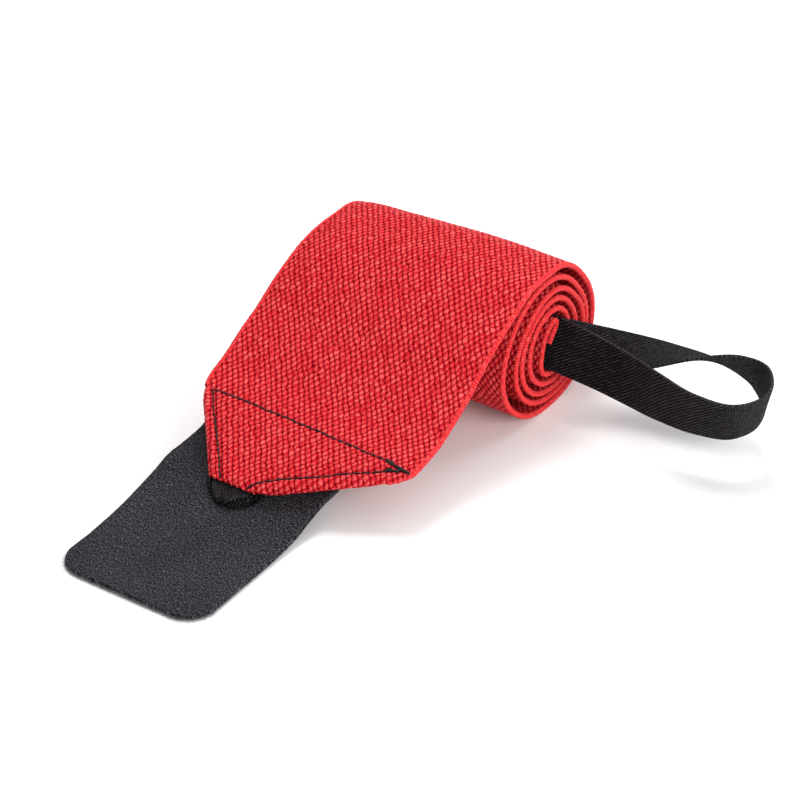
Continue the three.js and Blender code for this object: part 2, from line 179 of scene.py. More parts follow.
# Innermost turn's distance from the axis as shares of coreRadius, from top back round to the top.
coreTurn = [1.1, 0.88, 0.9, 1.07, 1.13, 0.9, 0.95, 1.12]

# Rows of the run: share of its reach, then the height of the right and of the left selvedge as shares
# of the coil's top.
runRows = [
    [0, 1, 1],
    [0.13, 0.987, 0.995],
    [0.19, 0.935, 0.978],
    [0.25, 0.87, 0.942],
    [0.305, 0.81, 0.89],
    [0.375, 0.72, 0.812],
    [0.463, 0.58, 0.69],
    [0.533, 0.494, 0.614],
    [0.618, 0.405, 0.507],
    [0.685, 0.37, 0.446],
    [0.763, 0.342, 0.388],
    [0.885, 0.274, 0.29],
    [1, 0.2, 0.213],
]

# Rows of the tab: share of its length, then the height of its right and left edge as shares of the
# height of its seat under the tip.
tabRows = [
    [0, 2.4, 2.4],
    [0.05, 1.7, 1.95],
    [0.1, 1.15, 1.42],
    [0.225, 0.93, 1.25],
    [0.317, 0.6, 1.2],
    [0.4, 0.25, 0.86],
    [0.5, 0.08, 0.54],
    [0.6, 0, 0.27],
    [0.72, 0, 0.08],
    [0.82, 0, 0],
    [1, 0, 0],
]


def mix(a, b, t):
    return a + (b - a) * t


def smooth(low, high, value):
    # 0 below low, 1 above high, and an S curve between them
    t = np.clip((value - low) / (high - low), 0, 1)
    return t * t * (3 - 2 * t)


def cubic(start, end, first, last, t):
    # from start to end as t goes from 0 to 1, with the slope first at one and last at the other
    return (start * (2 * t**3 - 3 * t**2 + 1) + first * (t**3 - 2 * t**2 + t)
            + end * (3 * t**2 - 2 * t**3) + last * (t**3 - t**2))


def hermite(knots, values, slopes, places):
    # a cubic on each stretch between knots, from the values and slopes at its two ends
    index = np.clip(np.searchsorted(knots, places, side="right") - 1, 0, len(knots) - 2)
    span = knots[index + 1] - knots[index]
    t = (places - knots[index]) / span
    return cubic(values[index], values[index + 1], slopes[index] * span, slopes[index + 1] * span, t)


def chordSlopes(knots, values):
    # at each knot the slope of the straight line between its two neighbours
    index = np.arange(len(knots))
    before, after = np.maximum(index - 1, 0), np.minimum(index + 1, len(knots) - 1)
    return (values[after] - values[before]) / (knots[after] - knots[before])


def softMin(a, b, rounding):
    # the lesser of two values, with the corner between them rounded off downwards
    share = np.clip(0.5 + 0.5 * (b - a) / rounding, 0, 1)
    return mix(b, a, share) - rounding * share * (1 - share)


def fromRows(rows, column, places):
    # a smooth curve through one column of a table, over the places in its first column
    table = np.array(rows, float)
    knots, values = table[:, 0], table[:, column]
    return hermite(knots, values, chordSlopes(knots, values), np.asarray(places, float))


def unit(vectors):
    return vectors / np.linalg.norm(vectors, axis=-1, keepdims=True)


def lineLength(points):
    # each point's distance along the chain of points from its start
    return np.concatenate([[0], np.cumsum(np.linalg.norm(np.diff(points, axis=0), axis=1))])


def onLine(wanted, length, points):
    # the points of a chain at the wanted distances along it
    return np.stack([np.interp(wanted, length, column) for column in points.T], axis=-1)


# The band's middle line at one selvedge
#
# A place is counted from the coil's top: -1 to 0 is the run from the blunt end to the top, then each 1
# is an eighth of a turn inwards, and past the coil's end 1 more is the hem's bend and 1 its short leg.

eighths = 8
turnsEnd = len(turnGaps) * eighths - coil["hemLead"] / 45
bandEnd = turnsEnd + 2


def coilRadii(gap):
    # each turn's radius is the next turn's, the band's thickness and the clear space between
    gaps = np.concatenate(turnGaps)
    radii = np.zeros(len(gaps) + eighths)
    radii[len(gaps):] = np.array(coreTurn) * coil["coreRadius"]
    for knot in range(len(gaps) - 1, -1, -1):
        radii[knot] = radii[knot + eighths] + band["thick"] + gaps[knot] * gap
    return radii


def coilPoints(gap, places):
    # distance from the axis on a smooth curve through the knots, turned an eighth of a circle a knot
    radii = coilRadii(gap)
    knots = np.arange(len(radii), dtype=float)
    slopes = chordSlopes(knots, radii)
    slopes[0] = 0          # the band leaves the coil's top level
    slopes[-1] /= 2
    radius = hermite(knots, radii, slopes, places)
    angle = places * math.pi / 4
    return np.stack([radius * np.sin(angle), radius * np.cos(angle)], axis=-1)


def axisHeight(gap):
    # the coil's lowest point lies on the floor
    lowest = coilPoints(gap, np.linspace(0, turnsEnd, 2000))[:, 1].min()
    return band["thick"] / 2 - lowest


def selvedgeLine(side, places):
    # Points (y, z) of the middle line at the left (-1) or right (1) selvedge: the rows of the run, the
    # coil's spiral, and the hem's bend and its straight leg.
    gap = coil["looseGap"] * (1 if side > 0 else coil["leftTightness"])
    high = axisHeight(gap)
    points = coilPoints(gap, np.clip(places, 0, turnsEnd)) + [0, high]
    top = coilPoints(gap, np.zeros(1))[0, 1] + high
    forward = np.clip(-places, 0, 1)
    heights = fromRows(runRows, 1 if side > 0 else 2, forward) * top
    points = np.where((places < 0)[:, None], np.stack([-forward * run["reach"], heights], axis=-1), points)
    last, before = coilPoints(gap, np.array([turnsEnd, turnsEnd - 0.25])) + [0, high]
    heading = math.atan2(last[1] - before[1], last[0] - before[0])
    radius = coil["hemRadius"]
    centre = last + radius * np.array([math.sin(heading), -math.cos(heading)])
    turned = heading - math.radians(coil["hemBend"]) * np.clip(places - turnsEnd, 0, 1)
    bend = centre + radius * np.stack([-np.sin(turned), np.cos(turned)], axis=-1)
    leg = np.clip(places - turnsEnd - 1, 0, 1)[:, None] * coil["hemLength"]
    hem = bend + leg * np.stack([np.cos(turned), np.sin(turned)], axis=-1)
    return np.where((places > turnsEnd)[:, None], hem, points)


# The band's middle between both selvedges as a fine chain of places and their distance from the start
finePlaces = np.concatenate([np.linspace(-1, 0, 1200), np.linspace(0, bandEnd, 9000)[1:]])
middleLine = (selvedgeLine(-1, finePlaces) + selvedgeLine(1, finePlaces)) / 2
fineLength = lineLength(middleLine)


def bandPlaces(spans):
    # places along the band, at whole steps on each span of (start, end, step), with their distance
    # from the blunt end
    wanted = []
    for start, end, step in spans:
        first, last = np.interp([start, end], finePlaces, fineLength)
        wanted.append(np.arange(round(first / step), round(last / step) + 1) * step)
    wanted = np.unique(np.concatenate(wanted).round(6))
    return np.interp(wanted, fineLength, finePlaces), wanted


def acrossFrame(places):
    # both selvedges' points and their normals, which point away from the coil's axis
    nudge = 0.004
    lines = []
    for side in (-1, 1):
        ahead = selvedgeLine(side, np.minimum(places + nudge, bandEnd))
        tangent = unit(ahead - selvedgeLine(side, np.maximum(places - nudge, -1)))
        lines.append((selvedgeLine(side, places), np.stack([-tangent[:, 1], tangent[:, 0]], axis=-1)))
    return lines


# How the coil's top bulges and droops: x across the band and the height added there. It starts at the
# height "from" over the floor and is full at the height "to".
crown = {
    "x": [-38, -33, -20, -5, 10, 20, 30, 38],
    "height": [-1.1, -0.1, 0.5, 1.0, 1.3, 1.1, 0.5, 0],
    "from": 22,
    "to": 46,
}


def onBand(places, x, above):
    # Points of the band from x across it and a height above its middle layer, for each place: on the
    # straight line between both selvedges, out along the normal, and up by the crown.
    (left, leftNormal), (right, rightNormal) = acrossFrame(places)
    across = (x / band["width"] + 0.5)[..., None]
    middle = mix(left[:, None], right[:, None], across)
    normal = mix(leftNormal[:, None], rightNormal[:, None], across)
    slip = coil["coreSlip"] * (np.clip(places, 0, None) / bandEnd) ** 2
    yz = middle + normal * above[..., None]
    knots, heights = np.array(crown["x"], float), np.array(crown["height"], float)
    bulge = hermite(knots, heights, np.gradient(heights, knots), np.clip(x, knots[0], knots[-1]))
    yz[..., 1] = yz[..., 1] + bulge * smooth(crown["from"], crown["to"], yz[..., 1])
    return np.concatenate([(x + slip[:, None])[..., None], yz], axis=-1)


# The weave

tableSize = 64
clothTable = np.random.default_rng(3).normal(0, 1, (3, tableSize, tableSize))

lattice = {
    "shiftA": 0.75,       # where its two sets of slanting lines lie, in repeats
    "shiftB": 0.15,
    "knotHeight": 0.88,
    "knotUneven": 0.12,   # how much a knot's own random value adds to it
}


def clothNoise(layer, u, w):
    # smooth noise: random values on a square grid, blended between the four corners of its cells
    i, j = np.floor(u).astype(int), np.floor(w).astype(int)
    s, t = smooth(0, 1, u - i), smooth(0, 1, w - j)
    table = clothTable[layer]
    i, j, nextI, nextJ = [value % tableSize for value in (i, j, i + 1, j + 1)]
    return mix(mix(table[i, j], table[nextI, j], s), mix(table[i, nextJ], table[nextI, nextJ], s), t)


def flatCells(across, along):
    # place on the flat cloth in repeats of the weave, with each knot pushed a little out of line
    u, w = across / band["cellWide"], along / band["cellLong"]
    pushU, pushW = [band["wander"] * clothNoise(layer, 2 * u, 2 * w) for layer in (0, 1)]
    return u + pushU, w + pushW


def weaveRelief(u, w):
    # A domed knot on each diamond of a slanting lattice, the root of two cosines' product, some higher
    # than others: about 1 on a knot's middle and 0 in the pits between four of them.
    a, b = u + w - lattice["shiftA"], u - w + lattice["shiftB"]
    dome = np.sqrt(np.abs(np.cos(np.pi * a) * np.cos(np.pi * b)))
    own = clothTable[2][np.rint(a).astype(int) % tableSize, np.rint(b).astype(int) % tableSize]
    return dome * (lattice["knotHeight"] + lattice["knotUneven"] * np.clip(own, -1.5, 1.0))


# Lines of stitches on the tip, each from the left: x across the band and the distance from the blunt
# end, and how far the line sinks in
stitchLines = {
    "cross": {"groove": 0.35, "path": [(-34.0, 26.7), (-24.0, 27.1), (1.0, 27.0), (22.4, 26.5), (28.0, 26.5),
                                       (35.6, 25.1)]},
    "left": {"groove": 0.75, "path": [(-34.0, 26.7), (-29.9, 21.6), (-25.0, 15.7), (-19.8, 9.9),
                                      (-15.7, 4.7), (-12.4, 0.4)]},
    "right": {"groove": 0.9, "path": [(-3.5, 0.5), (0.0, 4.2), (4.1, 7.3), (9.2, 10.1), (14.3, 12.9),
                                      (20.2, 17.0), (26.3, 20.8), (30.0, 23.2), (33.6, 25.2)]},
}


def distanceTo(line, x, along):
    # least distance from each point to a chain of straight stretches
    nearest = np.full(np.broadcast(x, along).shape, 1e9)
    for (ax, ay), (bx, by) in zip(line[:-1], line[1:]):
        length = (bx - ax) ** 2 + (by - ay) ** 2
        t = np.clip(((x - ax) * (bx - ax) + (along - ay) * (by - ay)) / length, 0, 1)
        nearest = np.minimum(nearest, np.hypot(x - ax - t * (bx - ax), along - ay - t * (by - ay)))
    return nearest


def grooves(x, along):
    # a soft dip beside each line of stitches
    dips = [line["groove"] * np.exp(-(distanceTo(line["path"], x, along) / tip["grooveWide"]) ** 2)
            for line in stitchLines.values()]
    return np.max(dips, axis=0)


# Mesh making

def splitFaces(quads):
    # quads whose corners meet become triangles, and those with no area are dropped
    same = quads == np.roll(quads, -1, axis=1)
    count = same.sum(axis=1)
    faces = [quads[count == 0]]
    for corner in range(4):
        rows = quads[(count == 1) & same[:, corner]]
        faces.append(np.delete(rows, corner, axis=1))
    return [part for part in faces if len(part)]


def tubeFaces(index):
    # faces between neighbouring rings, each ring closed on itself, and one flat face over either end
    following = np.roll(index, -1, axis=1)
    quads = np.stack([index[:-1], index[1:], following[1:], following[:-1]], axis=-1)
    caps = [ring[ring != np.roll(ring, 1)][None, :] for ring in (index[0], index[-1][::-1])]
    return splitFaces(quads.reshape(-1, 4)) + caps


def gridIndex(values):
    return np.arange(values.size).reshape(values.shape)


def onCloth(across, along):
    # each point's place on the flat cloth, from two arrays that fill up one grid
    return np.stack(np.broadcast_arrays(across, along), axis=-1)


def signedVolume(points, faces):
    # a sixth of the triple products of the faces' triangles, below 0 where the faces point inwards
    total = 0.0
    for part in faces:
        for corner in range(1, part.shape[1] - 1):
            a, b, c = points[part[:, 0]], points[part[:, corner]], points[part[:, corner + 1]]
            total += float((a * np.cross(b, c)).sum())
    return total / 6


def putPiece(name, points, faces, material, flat=None):
    # points in millimetres of the wrap's frame; flat is each point's place on the flat cloth
    used, corners = np.unique(np.concatenate([part.ravel() for part in faces]), return_inverse=True)
    points = points.reshape(-1, 3)[used]
    cuts = np.cumsum([part.size for part in faces])[:-1]
    faces = [part.reshape(old.shape) for part, old in zip(np.split(corners, cuts), faces)]
    if signedVolume(points, faces) < 0:
        faces = [part[:, ::-1] for part in faces]
    corners = np.concatenate([part.ravel() for part in faces]).astype(np.int32)
    sizes = np.concatenate([np.full(len(part), part.shape[1]) for part in faces])
    mesh = bpy.data.meshes.new(name)
    mesh.vertices.add(len(points))
    mesh.vertices.foreach_set("co", ((points + shift) * mm).astype(np.float32).ravel())
    mesh.loops.add(len(corners))
    mesh.loops.foreach_set("vertex_index", corners)
    mesh.polygons.add(len(sizes))
    mesh.polygons.foreach_set("loop_start", np.concatenate([[0], np.cumsum(sizes)[:-1]]).astype(np.int32))
    mesh.polygons.foreach_set("use_smooth", sizes <= 4)   # the caps of the ends stay flat
    if flat is not None:
        layer = mesh.uv_layers.new(name="flatCloth")
        layer.data.foreach_set("uv", flat.reshape(-1, 2)[used][corners].astype(np.float32).ravel())
    mesh.update(calc_edges=True)
    mesh.materials.append(material)
    piece = bpy.data.objects.new(name, mesh)
    bpy.context.scene.collection.objects.link(piece)
    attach(piece, "root")
    print(name, "triangles", int((sizes - 2).sum()))
    return piece


# The wrap's frame sits in the CAD frame by the band's left selvedge and the tab's free end
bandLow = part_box("elastic_band")[0]
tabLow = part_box("hook_tab")[0]
tabEnd = run["reach"] - tab["overlap"] + tab["length"]
shift = np.array([bandLow.x / mm + band["width"] / 2, tabLow.y / mm + tabEnd, 0])

# Materials


def addNode(tree, kind, **settings):
    # a node with its settings
    node = tree.nodes.new(kind)
    for name, value in settings.items():
        setattr(node, name, value)
    return node


def feed(tree, node, socket, value):
    # a link where the value is a socket, otherwise the socket's own value
    if isinstance(value, bpy.types.NodeSocket):
        tree.links.new(value, node.inputs[socket])
    else:
        node.inputs[socket].default_value = value


def maths(tree, operation, *values):
    node = addNode(tree, "ShaderNodeMath", operation=operation)
    for index, value in enumerate(values):
        feed(tree, node, index, value)
    return node.outputs[0]


def wave(tree, value, factor):
    # the cosine of a value times a factor
    return maths(tree, "COSINE", maths(tree, "MULTIPLY", value, factor))


def ramp(tree, value, low, high, outLow=0.0, outHigh=1.0):
    # an S curve from outLow at low to outHigh at high
    node = addNode(tree, "ShaderNodeMapRange", interpolation_type="SMOOTHSTEP")
    for socket, amount in (("Value", value), ("From Min", low), ("From Max", high),
                           ("To Min", outLow), ("To Max", outHigh)):
        feed(tree, node, socket, amount)
    return node.outputs["Result"]


def twoParts(tree, vector):
    node = addNode(tree, "ShaderNodeSeparateXYZ")
    feed(tree, node, 0, vector)
    return node.outputs[0], node.outputs[1]


def randomOf(tree, first, second):
    # one random value for each pair of whole numbers
    pair = addNode(tree, "ShaderNodeCombineXYZ")
    feed(tree, pair, 0, first)
    feed(tree, pair, 1, second)
    node = addNode(tree, "ShaderNodeTexWhiteNoise", noise_dimensions="2D")
    feed(tree, node, "Vector", pair.outputs[0])
    return node.outputs["Value"]


def blendColours(tree, share, first, second):
    node = addNode(tree, "ShaderNodeMix", data_type="RGBA", blend_type="MIX")
    feed(tree, node, 0, share)
    feed(tree, node, 6, first)
    feed(tree, node, 7, second)
    return node.outputs[2]


def noise(tree, vector, scale, detail=2.0, roughness=0.5):
    node = addNode(tree, "ShaderNodeTexNoise")
    for socket, amount in (("Vector", vector), ("Scale", scale), ("Detail", detail),
                           ("Roughness", roughness)):
        feed(tree, node, socket, amount)
    return node.outputs["Fac"]


def newGroup(name, place, inputs, outputs):
    # a node group with one vector input, the place, and plain values for the rest
    group = bpy.data.node_groups.new(name, "ShaderNodeTree")
    group.interface.new_socket(place, in_out="INPUT", socket_type="NodeSocketVector")
    for label, value in inputs.items():
        socket = group.interface.new_socket(label, in_out="INPUT", socket_type="NodeSocketFloat")
        socket.default_value = value
    for label in outputs:
        group.interface.new_socket(label, in_out="OUTPUT", socket_type="NodeSocketFloat")
    return group, group.nodes.new("NodeGroupInput").outputs, group.nodes.new("NodeGroupOutput")


def makeKnotWeave():
    # The same diamonds on the flat cloth as the mesh has, from two slanting cosines: each knot's dome,
    # tilted and with fine threads, the masks of painted shade in the gaps round it and in the pits at its
    # corners, and a tone of its own.
    group, given, out = newGroup("knotWeave", "Flat", {"Tilt": 0.3},
                                 ("Height", "GapShade", "PitShade", "Knot", "Tone"))
    u, w = twoParts(group, given["Flat"])
    a = maths(group, "SUBTRACT", maths(group, "ADD", u, w), lattice["shiftA"])
    b = maths(group, "ADD", maths(group, "SUBTRACT", u, w), lattice["shiftB"])
    cosA, cosB = [maths(group, "ABSOLUTE", wave(group, value, math.pi)) for value in (a, b)]
    dome = maths(group, "POWER", maths(group, "MULTIPLY", cosA, cosB), 0.42)
    numberA, numberB = [maths(group, "FLOOR", maths(group, "ADD", value, 0.5)) for value in (a, b)]
    fromMiddle = maths(group, "SUBTRACT", b, numberB)
    tilted = maths(group, "MULTIPLY_ADD", fromMiddle, given["Tilt"], dome)
    threads = maths(group, "SINE", maths(group, "MULTIPLY", a, 10 * math.pi))
    height = maths(group, "MULTIPLY_ADD", threads, 0.05, tilted)
    uneven = noise(group, given["Flat"], 4.5, 3.0, 0.65)
    feed(group, out, "Height", maths(group, "MULTIPLY_ADD", uneven, 0.6, height))
    feed(group, out, "GapShade", ramp(group, dome, 0.72, 0.36))
    wander = maths(group, "MULTIPLY_ADD", noise(group, given["Flat"], 2.6), 0.9, -0.45)
    corner = maths(group, "MAXIMUM", cosA, maths(group, "MULTIPLY", cosB, 0.58))
    feed(group, out, "PitShade", ramp(group, maths(group, "ADD", corner, wander), 0.58, 0.24))
    feed(group, out, "Knot", randomOf(group, numberA, numberB))
    feed(group, out, "Tone", noise(group, given["Flat"], 0.25, 3.0, 0.6))
    return group


def makeFibreGrain():
    # fine uneven fibres and a few bright specks, shared by every cloth
    group, given, out = newGroup("fibreGrain", "Place", {"Scale": 2500.0}, ("Grain", "Speck", "Patch"))
    feed(group, out, "Grain", noise(group, given["Place"], given["Scale"], 3.0, 0.7))
    specks = noise(group, given["Place"], maths(group, "MULTIPLY", given["Scale"], 0.9), 1.0, 0.5)
    feed(group, out, "Speck", ramp(group, specks, 0.68, 0.78))
    slow = maths(group, "MULTIPLY", given["Scale"], 0.02)
    feed(group, out, "Patch", noise(group, given["Place"], slow, 3.0))
    return group


def useGroup(tree, group, **values):
    node = addNode(tree, "ShaderNodeGroup", node_tree=group)
    for name, value in values.items():
        feed(tree, node, name, value)
    return node.outputs


def newMaterial(name, specular):
    material = bpy.data.materials.new(name)
    material.use_nodes = True
    tree = material.node_tree
    shader = tree.nodes["Principled BSDF"]
    shader.inputs["Specular IOR Level"].default_value = specular
    return material, tree, shader


def roughFrom(tree, shader, grain, low, high):
    feed(tree, shader, "Roughness", ramp(tree, grain, 0.3, 0.7, low, high))


def bumpFrom(tree, shader, height, distance):
    node = addNode(tree, "ShaderNodeBump")
    feed(tree, node, "Strength", 1.0)
    feed(tree, node, "Distance", distance)
    feed(tree, node, "Height", height)
    feed(tree, shader, "Normal", node.outputs[0])


knotWeave = makeKnotWeave()
fibreGrain = makeFibreGrain()

redCloth = {
    # painted highlight: the light colour put on each knot's crown
    "crown": (1.0, 0.19, 0.17, 1),
    "body": (0.62, 0.015, 0.026, 1),
    # painted shade: the dark red put in the gaps between knots and the near black in the pits
    "gap": (0.4, 0.0, 0.006, 1),
    "pitShade": (0.22, 0.0, 0.003, 1),
    # painted glints: the bright rim colour over the deeper rimLow on the cord's rib crests and fibres
    "rim": (1.0, 0.085, 0.08, 1),
    "rimLow": (0.62, 0.0, 0.012, 1),
    "specular": 0.03,
    "rimSpecular": 0.1,
    "rough": (0.35, 0.6),
    "rimRough": (0.45, 0.7),
    "bump": 0.00045,
    "rimBump": 0.00009,
    "grainScale": 3200.0,
    "streakScale": 5.5,   # of the thread streaks that break up the painted highlight on a knot
    "tilt": 0.45,         # how far the knots lean, in the bump and in where the painted highlight falls on each knot
    "lit": (2.0, 2.8),    # height at which the painted highlight on a knot's crown starts and is full
    "toned": 0.3,         # how much of the deeper red the slow patches take
    "gapShadeShare": 0.25,     # how far the painted shade darkens the gaps
}


def flatPlace(tree):
    return addNode(tree, "ShaderNodeUVMap", uv_map="flatCloth").outputs[0]


def objectPlace(tree):
    return addNode(tree, "ShaderNodeTexCoord").outputs["Object"]


def makeRedWeave():
    # painted highlights as light crowns on the knots over a deeper red body, painted shade in the gaps
    # between the knots, and near-black painted shade in the pits
    material, tree, shader = newMaterial("redWeave", redCloth["specular"])
    weave = useGroup(tree, knotWeave, Flat=flatPlace(tree), Tilt=redCloth["tilt"])
    grain = useGroup(tree, fibreGrain, Place=objectPlace(tree), Scale=redCloth["grainScale"])
    streak = useGroup(tree, fibreGrain, Place=flatPlace(tree), Scale=redCloth["streakScale"])
    knots = maths(tree, "MULTIPLY_ADD", weave["Knot"], 0.25, weave["Height"])
    fibres = maths(tree, "MULTIPLY_ADD", streak["Grain"], 1.9, knots)
    # painted highlight on the knots' crowns, placed by their height, their random value and the thread
    # streaks
    lit = blendColours(tree, ramp(tree, fibres, *redCloth["lit"]), redCloth["body"], redCloth["crown"])
    tone = ramp(tree, weave["Tone"], 0.3, 0.75, 0.0, redCloth["toned"])
    toned = blendColours(tree, tone, lit, redCloth["body"])
    # painted shade in the gaps round each knot and in the pits at its corners
    gapShadeShare = maths(tree, "MULTIPLY", weave["GapShade"], redCloth["gapShadeShare"])
    gaps = blendColours(tree, gapShadeShare, toned, redCloth["gap"])
    pitShaded = blendColours(tree, weave["PitShade"], gaps, redCloth["pitShade"])
    feed(tree, shader, "Base Color", pitShaded)
    roughFrom(tree, shader, grain["Grain"], *redCloth["rough"])
    height = maths(tree, "MULTIPLY_ADD", grain["Grain"], 0.2, weave["Height"])
    bumpFrom(tree, shader, height, redCloth["bump"])
    return material


def makeRedRim():
    # leaning ribs round the cord, roughened by the fibres, and painted glints where the ribs' crests and the
    # fibres take the bright rim colour
    material, tree, shader = newMaterial("redSelvedge", redCloth["rimSpecular"])
    ribs = wave(tree, maths(tree, "ADD", *twoParts(tree, flatPlace(tree))), 2 * math.pi)
    grain = useGroup(tree, fibreGrain, Place=objectPlace(tree), Scale=redCloth["grainScale"])
    uneven = maths(tree, "MULTIPLY_ADD", grain["Grain"], 6.0, ribs)
    colour = blendColours(tree, ramp(tree, uneven, 0.8, 5.4), redCloth["rimLow"], redCloth["rim"])
    feed(tree, shader, "Base Color", colour)
    roughFrom(tree, shader, grain["Grain"], *redCloth["rimRough"])
    bumpFrom(tree, shader, maths(tree, "MULTIPLY_ADD", grain["Grain"], 2.5, ribs), redCloth["rimBump"])
    return material


redWeave = makeRedWeave()
redRim = makeRedRim()

blackCloth = {
    "webbing": (0.004, 0.0025, 0.004, 1),
    "webbingLit": (0.085, 0.072, 0.08, 1),
    # painted highlight along the webbing's edges
    "webbingEdgeLit": (0.055, 0.048, 0.055, 1),
    "plush": (0.004, 0.0035, 0.0045, 1),
    "plushLit": (0.095, 0.09, 0.104, 1),
    "speck": (0.34, 0.34, 0.38, 1),
    "thread": (0.006, 0.003, 0.004, 1),
    "fuzz": (0.2, 0.19, 0.2, 1),
    "webbingSpecular": 0.18,
    "plushSpecular": 0.06,
    "threadSpecular": 0.3,
    "webbingRough": (0.36, 0.6),
    "plushRough": (0.6, 0.9),
    "threadRough": 0.6,
    "fuzzRough": 0.8,
    "plushBump": 0.0003,
    "threadBump": 0.0001,
    "webbingScale": 3000.0,
    "threadScale": 4000.0,
    "plushScale": (2.5, 1.5, 1.0),  # its fibres lie along the tab
    "edgeHighlight": (0.35, 0.15),       # where the webbing's painted highlight along its edges starts and is full, from its rim
}


def makeTwillWeave():
    # slanting ribs across the tape, each cut into short floats that are staggered from rib to rib
    group, given, out = newGroup("twillWeave", "Flat",
                                 {"Pitch": 1.0, "Float": 1.1, "Across": 0.83, "Along": -0.56},
                                 ("Height", "Crest", "Random"))
    x, y = twoParts(group, given["Flat"])
    over = maths(group, "MULTIPLY_ADD", x, given["Across"], maths(group, "MULTIPLY", y, given["Along"]))
    rib = maths(group, "DIVIDE", over, given["Pitch"])
    alongRib = maths(group, "SUBTRACT", maths(group, "MULTIPLY", y, given["Across"]),
                     maths(group, "MULTIPLY", x, given["Along"]))
    number = maths(group, "FLOOR", maths(group, "ADD", rib, 0.5))
    place = maths(group, "MULTIPLY_ADD", number, 0.37, maths(group, "DIVIDE", alongRib, given["Float"]))
    ribs, floats = [wave(group, value, 2 * math.pi) for value in (rib, place)]
    height = maths(group, "MULTIPLY_ADD", floats, 0.3, maths(group, "MULTIPLY", ribs, 0.7))
    feed(group, out, "Height", height)
    feed(group, out, "Crest", ramp(group, height, 0.2, 0.95))
    feed(group, out, "Random", randomOf(group, number, maths(group, "FLOOR", place)))
    return group


twillWeave = makeTwillWeave()


def makeWebbing(name, pitch, floatLong, angle, bump, halfWidth):
    # ribs at an angle to the tape, with painted light on their crests, a painted highlight along its edges,
    # and painted glints of bright specks on the crests
    material, tree, shader = newMaterial(name, blackCloth["webbingSpecular"])
    turn = math.radians(angle)
    place = flatPlace(tree)
    twill = useGroup(tree, twillWeave, Flat=place, Pitch=pitch, Float=floatLong,
                     Across=math.cos(turn), Along=-math.sin(turn))
    grain = useGroup(tree, fibreGrain, Place=objectPlace(tree), Scale=blackCloth["webbingScale"])
    lit = maths(tree, "MULTIPLY", twill["Crest"], ramp(tree, twill["Random"], 0.2, 1.0, 0.1, 1.0))
    colour = blendColours(tree, lit, blackCloth["webbing"], blackCloth["webbingLit"])
    # painted highlight along the tape's edges, broken up by the fibres
    across = maths(tree, "ABSOLUTE", twoParts(tree, place)[0])
    edge = ramp(tree, across, *[halfWidth - inside for inside in blackCloth["edgeHighlight"]])
    edgeShine = maths(tree, "MULTIPLY", edge, ramp(tree, grain["Grain"], 0.4, 0.65, 0.0, 0.8))
    withEdgeShine = blendColours(tree, edgeShine, colour, blackCloth["webbingEdgeLit"])
    fine = useGroup(tree, fibreGrain, Place=place, Scale=2.0)
    shine = maths(tree, "MULTIPLY", fine["Speck"], maths(tree, "MULTIPLY", twill["Crest"], 0.7))
    feed(tree, shader, "Base Color", blendColours(tree, shine, withEdgeShine, blackCloth["speck"]))
    roughFrom(tree, shader, grain["Grain"], *blackCloth["webbingRough"])
    bumpFrom(tree, shader, maths(tree, "MULTIPLY_ADD", grain["Grain"], 0.35, twill["Height"]), bump)
    return material


def makePlush():
    # brushed fibres of two tones, darker in patches, with specks
    material, tree, shader = newMaterial("tabPlush", blackCloth["plushSpecular"])
    fibres = addNode(tree, "ShaderNodeVectorMath", operation="MULTIPLY")
    feed(tree, fibres, 0, flatPlace(tree))
    feed(tree, fibres, 1, blackCloth["plushScale"])
    fine = useGroup(tree, fibreGrain, Place=fibres.outputs[0], Scale=1.0)
    lit = ramp(tree, fine["Grain"], 0.42, 0.66)
    base = blendColours(tree, lit, blackCloth["plush"], blackCloth["plushLit"])
    patchy = blendColours(tree, ramp(tree, fine["Patch"], 0.35, 0.7, 0.0, 0.3), base, blackCloth["plush"])
    specks = maths(tree, "MULTIPLY", fine["Speck"], 0.6)
    feed(tree, shader, "Base Color", blendColours(tree, specks, patchy, blackCloth["speck"]))
    roughFrom(tree, shader, fine["Grain"], *blackCloth["plushRough"])
    bumpFrom(tree, shader, fine["Grain"], blackCloth["plushBump"])
    return material


def makeThread(name, colour, rough):
    # one colour with lighter fibres in it
    material, tree, shader = newMaterial(name, blackCloth["threadSpecular"])
    grain = useGroup(tree, fibreGrain, Place=objectPlace(tree), Scale=blackCloth["threadScale"])
    lighter = tuple(min(value * 2.2 + 0.004, 1) for value in colour[:3]) + (1,)
    mixed = blendColours(tree, ramp(tree, grain["Grain"], 0.35, 0.7), colour, lighter)
    feed(tree, shader, "Base Color", mixed)
    roughFrom(tree, shader, grain["Grain"], rough - 0.1, rough + 0.1)
    bumpFrom(tree, shader, grain["Grain"], blackCloth["threadBump"])
    return material


webbingTwill = makeWebbing("webbingTwill", thumb["twillWide"], thumb["twillFloat"], thumb["twillAngle"],
                           thumb["bump"], thumb["width"] / 2)
webbingRibbed = makeWebbing("webbingRibbed", foldTape["ribWide"], foldTape["ribFloat"], 0,
                            foldTape["bump"], foldTape["width"])
tabPlush = makePlush()
threadBlack = makeThread("threadBlack", blackCloth["thread"], blackCloth["threadRough"])
fuzzGrey = makeThread("fuzzGrey", blackCloth["fuzz"], blackCloth["fuzzRough"])
print("materials made")

# Band


def foldEnds(side):
    # how far from the coil a side's fold starts at the selvedge, and its x at the blunt end
    start = run["reach"] - tip["left" if side < 0 else "right"]
    return start, tip["centre"] + side * tip["bluntWidth"] / 2


def edgeAt(side, forward):
    # The selvedge up to the fold's corner, then the fold line to the blunt end, the corner rounded off.
    start, blunt = foldEnds(side)
    share = (forward - start) / (run["reach"] - start)
    foldLine = mix(side * band["width"] / 2, blunt, share) * side
    return side * softMin(band["width"] / 2, foldLine, tip["cornerRound"])


